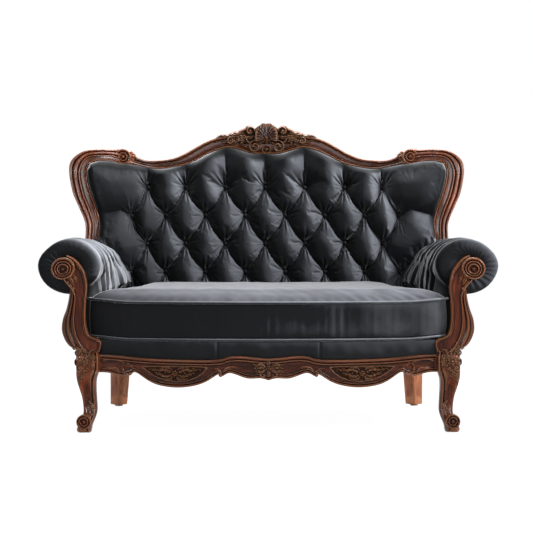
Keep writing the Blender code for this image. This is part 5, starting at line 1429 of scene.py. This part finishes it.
def makePostCover(word, side):
    # Cloth over the outer side of the back post: behind the panel below, and free above it
    ends = float(rearPlane(postSide, 0.494))
    z = np.concatenate([np.linspace(0.2165, 0.2838, 12), np.linspace(0.2842, 0.5200, 40),
                        np.linspace(0.5204, 0.6585, 24)])[:, None]
    share = np.linspace(0.0, 1.0, 21)[None, :]
    start = np.where(z < 0.284, 0.1690, np.where(z < 0.5202, ends + 0.0008, 0.1500))
    width = np.maximum(rearPlane(postSide, z) - 0.001 - start, 0.0005)
    lift = 0.0020 * rounded(np.minimum(share, 1.0 - share) * width / 0.006)
    inside = np.full(width.shape, 0.62525) + 0.0 * share
    shell = np.stack([inside + 0.0006 + lift, start + share * width, z + 0.0 * share], axis=-1)
    under = shell.copy()
    under[..., 0] = inside
    covers = [between(shell, under)]
    # The round end of the roll, closed beside the post
    tail = float(rearPlane(postSide, rollZ)) - 0.003
    phi = np.linspace(0.0, 2.0 * pi, 64, endpoint=False)
    reach = np.array([0.01, 0.5, 0.85, 0.96, 1.0, 1.0])[:, None]
    deep = np.array([-0.0012, -0.0010, -0.0004, 0.0008, 0.0030, 0.012])[:, None]
    x = np.maximum(rollX(tail) + (rollRadius(tail) - 0.0025) * reach * np.cos(phi), 0.6285)
    z = rollZ + (rollHeight(tail) - 0.0025) * reach * np.sin(phi)
    covers.append(np.stack([x, tail - deep + 0.0 * phi, z], axis=-1))
    piece(f"{word}_back_post_cover", mirrored(covers, side), velvetFlat, reach=0.0)


def makeOutsideWing(word, side):
    # The stuffed outside of the wing, full behind the post and thin at the frame's edge
    across, up = np.meshgrid(np.linspace(0.0, 1.0, 50), np.linspace(0.0, 1.0, 90))
    z = 0.659 + up * (0.954 - 0.659)
    rim = through(wingOuter, 60)[::-1]
    outline = np.interp(z, rim[:, 1], rim[:, 0]) - 0.010
    x = 0.6253 + across * (outline - 0.6253)
    near = backPlane(x, z) + 0.051
    full = rearPlane(postSide, z) - backPlane(postSide, z) - 0.051
    far = near + full * np.sqrt(1.0 - 0.96 * across**2) * (0.90 + 0.10 * np.sqrt(bump(up, 0.5, 0.5)))
    piece(f"{word}_outside_wing_cover", mirrored([slabRings(x, near, far, z)], side), velvetFlat,
          replaces=[f"{word}_outside_wing"], reach=0.0)


makeBorder()
makeDeck()
makeOutsides()
print("borders and panels made")


# Frame pieces that keep their own shape get their finish

def refinish(names, material):
    for name in names:
        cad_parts[name].data.materials.clear()
        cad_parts[name].data.materials.append(material)


both = [word for word, side in sides]
refinish([f"{w}_{n}" for w in both for n in ("front_corner_block", "rear_corner_block", "arm_rail", "back_post")],
         beech)
refinish(["front_rail", "rear_rail", "centre_brace", "centre_stile", "tack_rail"], beech)
refinish([f"{w}_side_rail" for w in both], walnutDeep)
refinish([f"{w}_{n}_glide" for w in both for n in ("front", "rear")], steel)
refinish(["front_clip_strip", "rear_clip_strip"] + [f"seat_spring_{k}" for k in range(1, 6)], steel)
refinish(["dust_cover"], cambric)
print("frame pieces finished")


# Stage, lights and camera

studio = {"floor": "#f4f4f4", "world": "#ffffff", "worldStrength": 0.42, "camera": (-0.06, -5.88, 0.854), "pitch": 2.85,
          "yaw": -0.556, "lens": 106.6}


def lamp(name, place, target, size, power, glossOnly=False):
    data = bpy.data.lights.new(name, "AREA")
    data.shape, data.size, data.size_y, data.energy = "RECTANGLE", size[0], size[1], power
    item = bpy.data.objects.new(name, data)
    item.location = place
    item.visible_diffuse = not glossOnly
    back = np.array(place, float) - np.array(target, float)
    item.rotation_euler = (math.atan2(math.hypot(back[0], back[1]), back[2]), 0.0, math.atan2(back[0], -back[1]))
    bpy.context.scene.collection.objects.link(item)


def seenBy(tree, *rays):
    # 1 where one of these kinds of ray looks, else 0
    path = node(tree, "ShaderNodeLightPath")
    seen = path.outputs[rays[0]]
    for ray in rays[1:]:
        seen = joined(tree, "MAXIMUM", seen, path.outputs[ray])
    return seen


def makeStage():
    mesh = bpy.data.meshes.new("studio_floor")
    mesh.from_pydata([(-14, -14, 0), (14, -14, 0), (14, 14, 0), (-14, 14, 0)], [], [(0, 1, 2, 3)])
    floor = bpy.data.objects.new("studio_floor", mesh)
    bpy.context.scene.collection.objects.link(floor)
    # Matt paper: what the camera sees of it is mostly its own white, so that only the shadow is left
    material, tree, shader = blank("floor_paper_matt")
    setInputs(shader, {"Base Color": linear(studio["floor"]), "Roughness": 0.95})
    glow = node(tree, "ShaderNodeEmission", inputs={"Color": linear("#ffffff"), "Strength": 1.04})
    share = times(tree, seenBy(tree, "Is Camera Ray", "Is Glossy Ray"), 0.94)
    mix = node(tree, "ShaderNodeMixShader", links={0: share, 1: shader.outputs[0], 2: glow.outputs[0]})
    tree.links.new(mix.outputs[0], tree.nodes["Material Output"].inputs["Surface"])
    mesh.materials.append(material)

    world = bpy.data.worlds.new("studio")
    bpy.context.scene.world = world
    world.use_nodes = True
    tree = world.node_tree
    light = tree.nodes["Background"]
    setInputs(light, {"Color": linear(studio["world"]), "Strength": studio["worldStrength"]})
    white = node(tree, "ShaderNodeBackground", inputs={"Color": linear("#ffffff"), "Strength": 1.0})
    seen = seenBy(tree, "Is Camera Ray", "Is Glossy Ray", "Is Transmission Ray")
    mix = node(tree, "ShaderNodeMixShader", links={0: seen, 1: light.outputs[0], 2: white.outputs[0]})
    tree.links.new(mix.outputs[0], tree.nodes["World Output"].inputs["Surface"])

    lamp("key_light", (3.4, -2.2, 2.8), (0.0, 0.0, 0.6), (1.1, 1.1), 195.0)
    lamp("fill_light", (-3.2, -3.4, 1.6), (0.0, 0.0, 0.5), (2.4, 2.4), 13.0)
    lamp("top_light", (0.2, 1.1, 3.1), (0.0, 0.0, 0.5), (3.0, 1.2), 345.0)
    lamp("rim_left", (-2.8, 1.6, 1.8), (-0.4, 0.0, 0.7), (1.2, 2.2), 20.0)
    lamp("rim_right", (3.0, 0.5, 1.9), (0.5, 0.0, 0.6), (1.2, 2.2), 36.0)
    # Cards above and beside the camera that only the polish mirrors
    lamp("card_above", (0.0, -4.4, 3.0), (0.0, 0.2, 0.85), (3.2, 0.9), 150.0, glossOnly=True)
    lamp("card_left", (-3.0, -3.6, 1.9), (-0.5, 0.0, 0.8), (0.5, 2.0), 230.0, glossOnly=True)
    lamp("card_right", (3.2, -3.6, 1.9), (0.5, 0.0, 0.8), (0.5, 2.0), 210.0, glossOnly=True)

    camera = bpy.data.objects.new("photo_camera", bpy.data.cameras.new("photo_camera"))
    camera.location = studio["camera"]
    camera.rotation_euler = (math.radians(90.0 - studio["pitch"]), 0.0, math.radians(studio["yaw"]))
    camera.data.lens = studio["lens"]
    camera.data.sensor_width = 36.0
    bpy.context.scene.collection.objects.link(camera)
    bpy.context.scene.camera = camera
    bpy.context.scene.view_settings.view_transform = "Standard"


makeStage()
print("stage, lights and camera set")
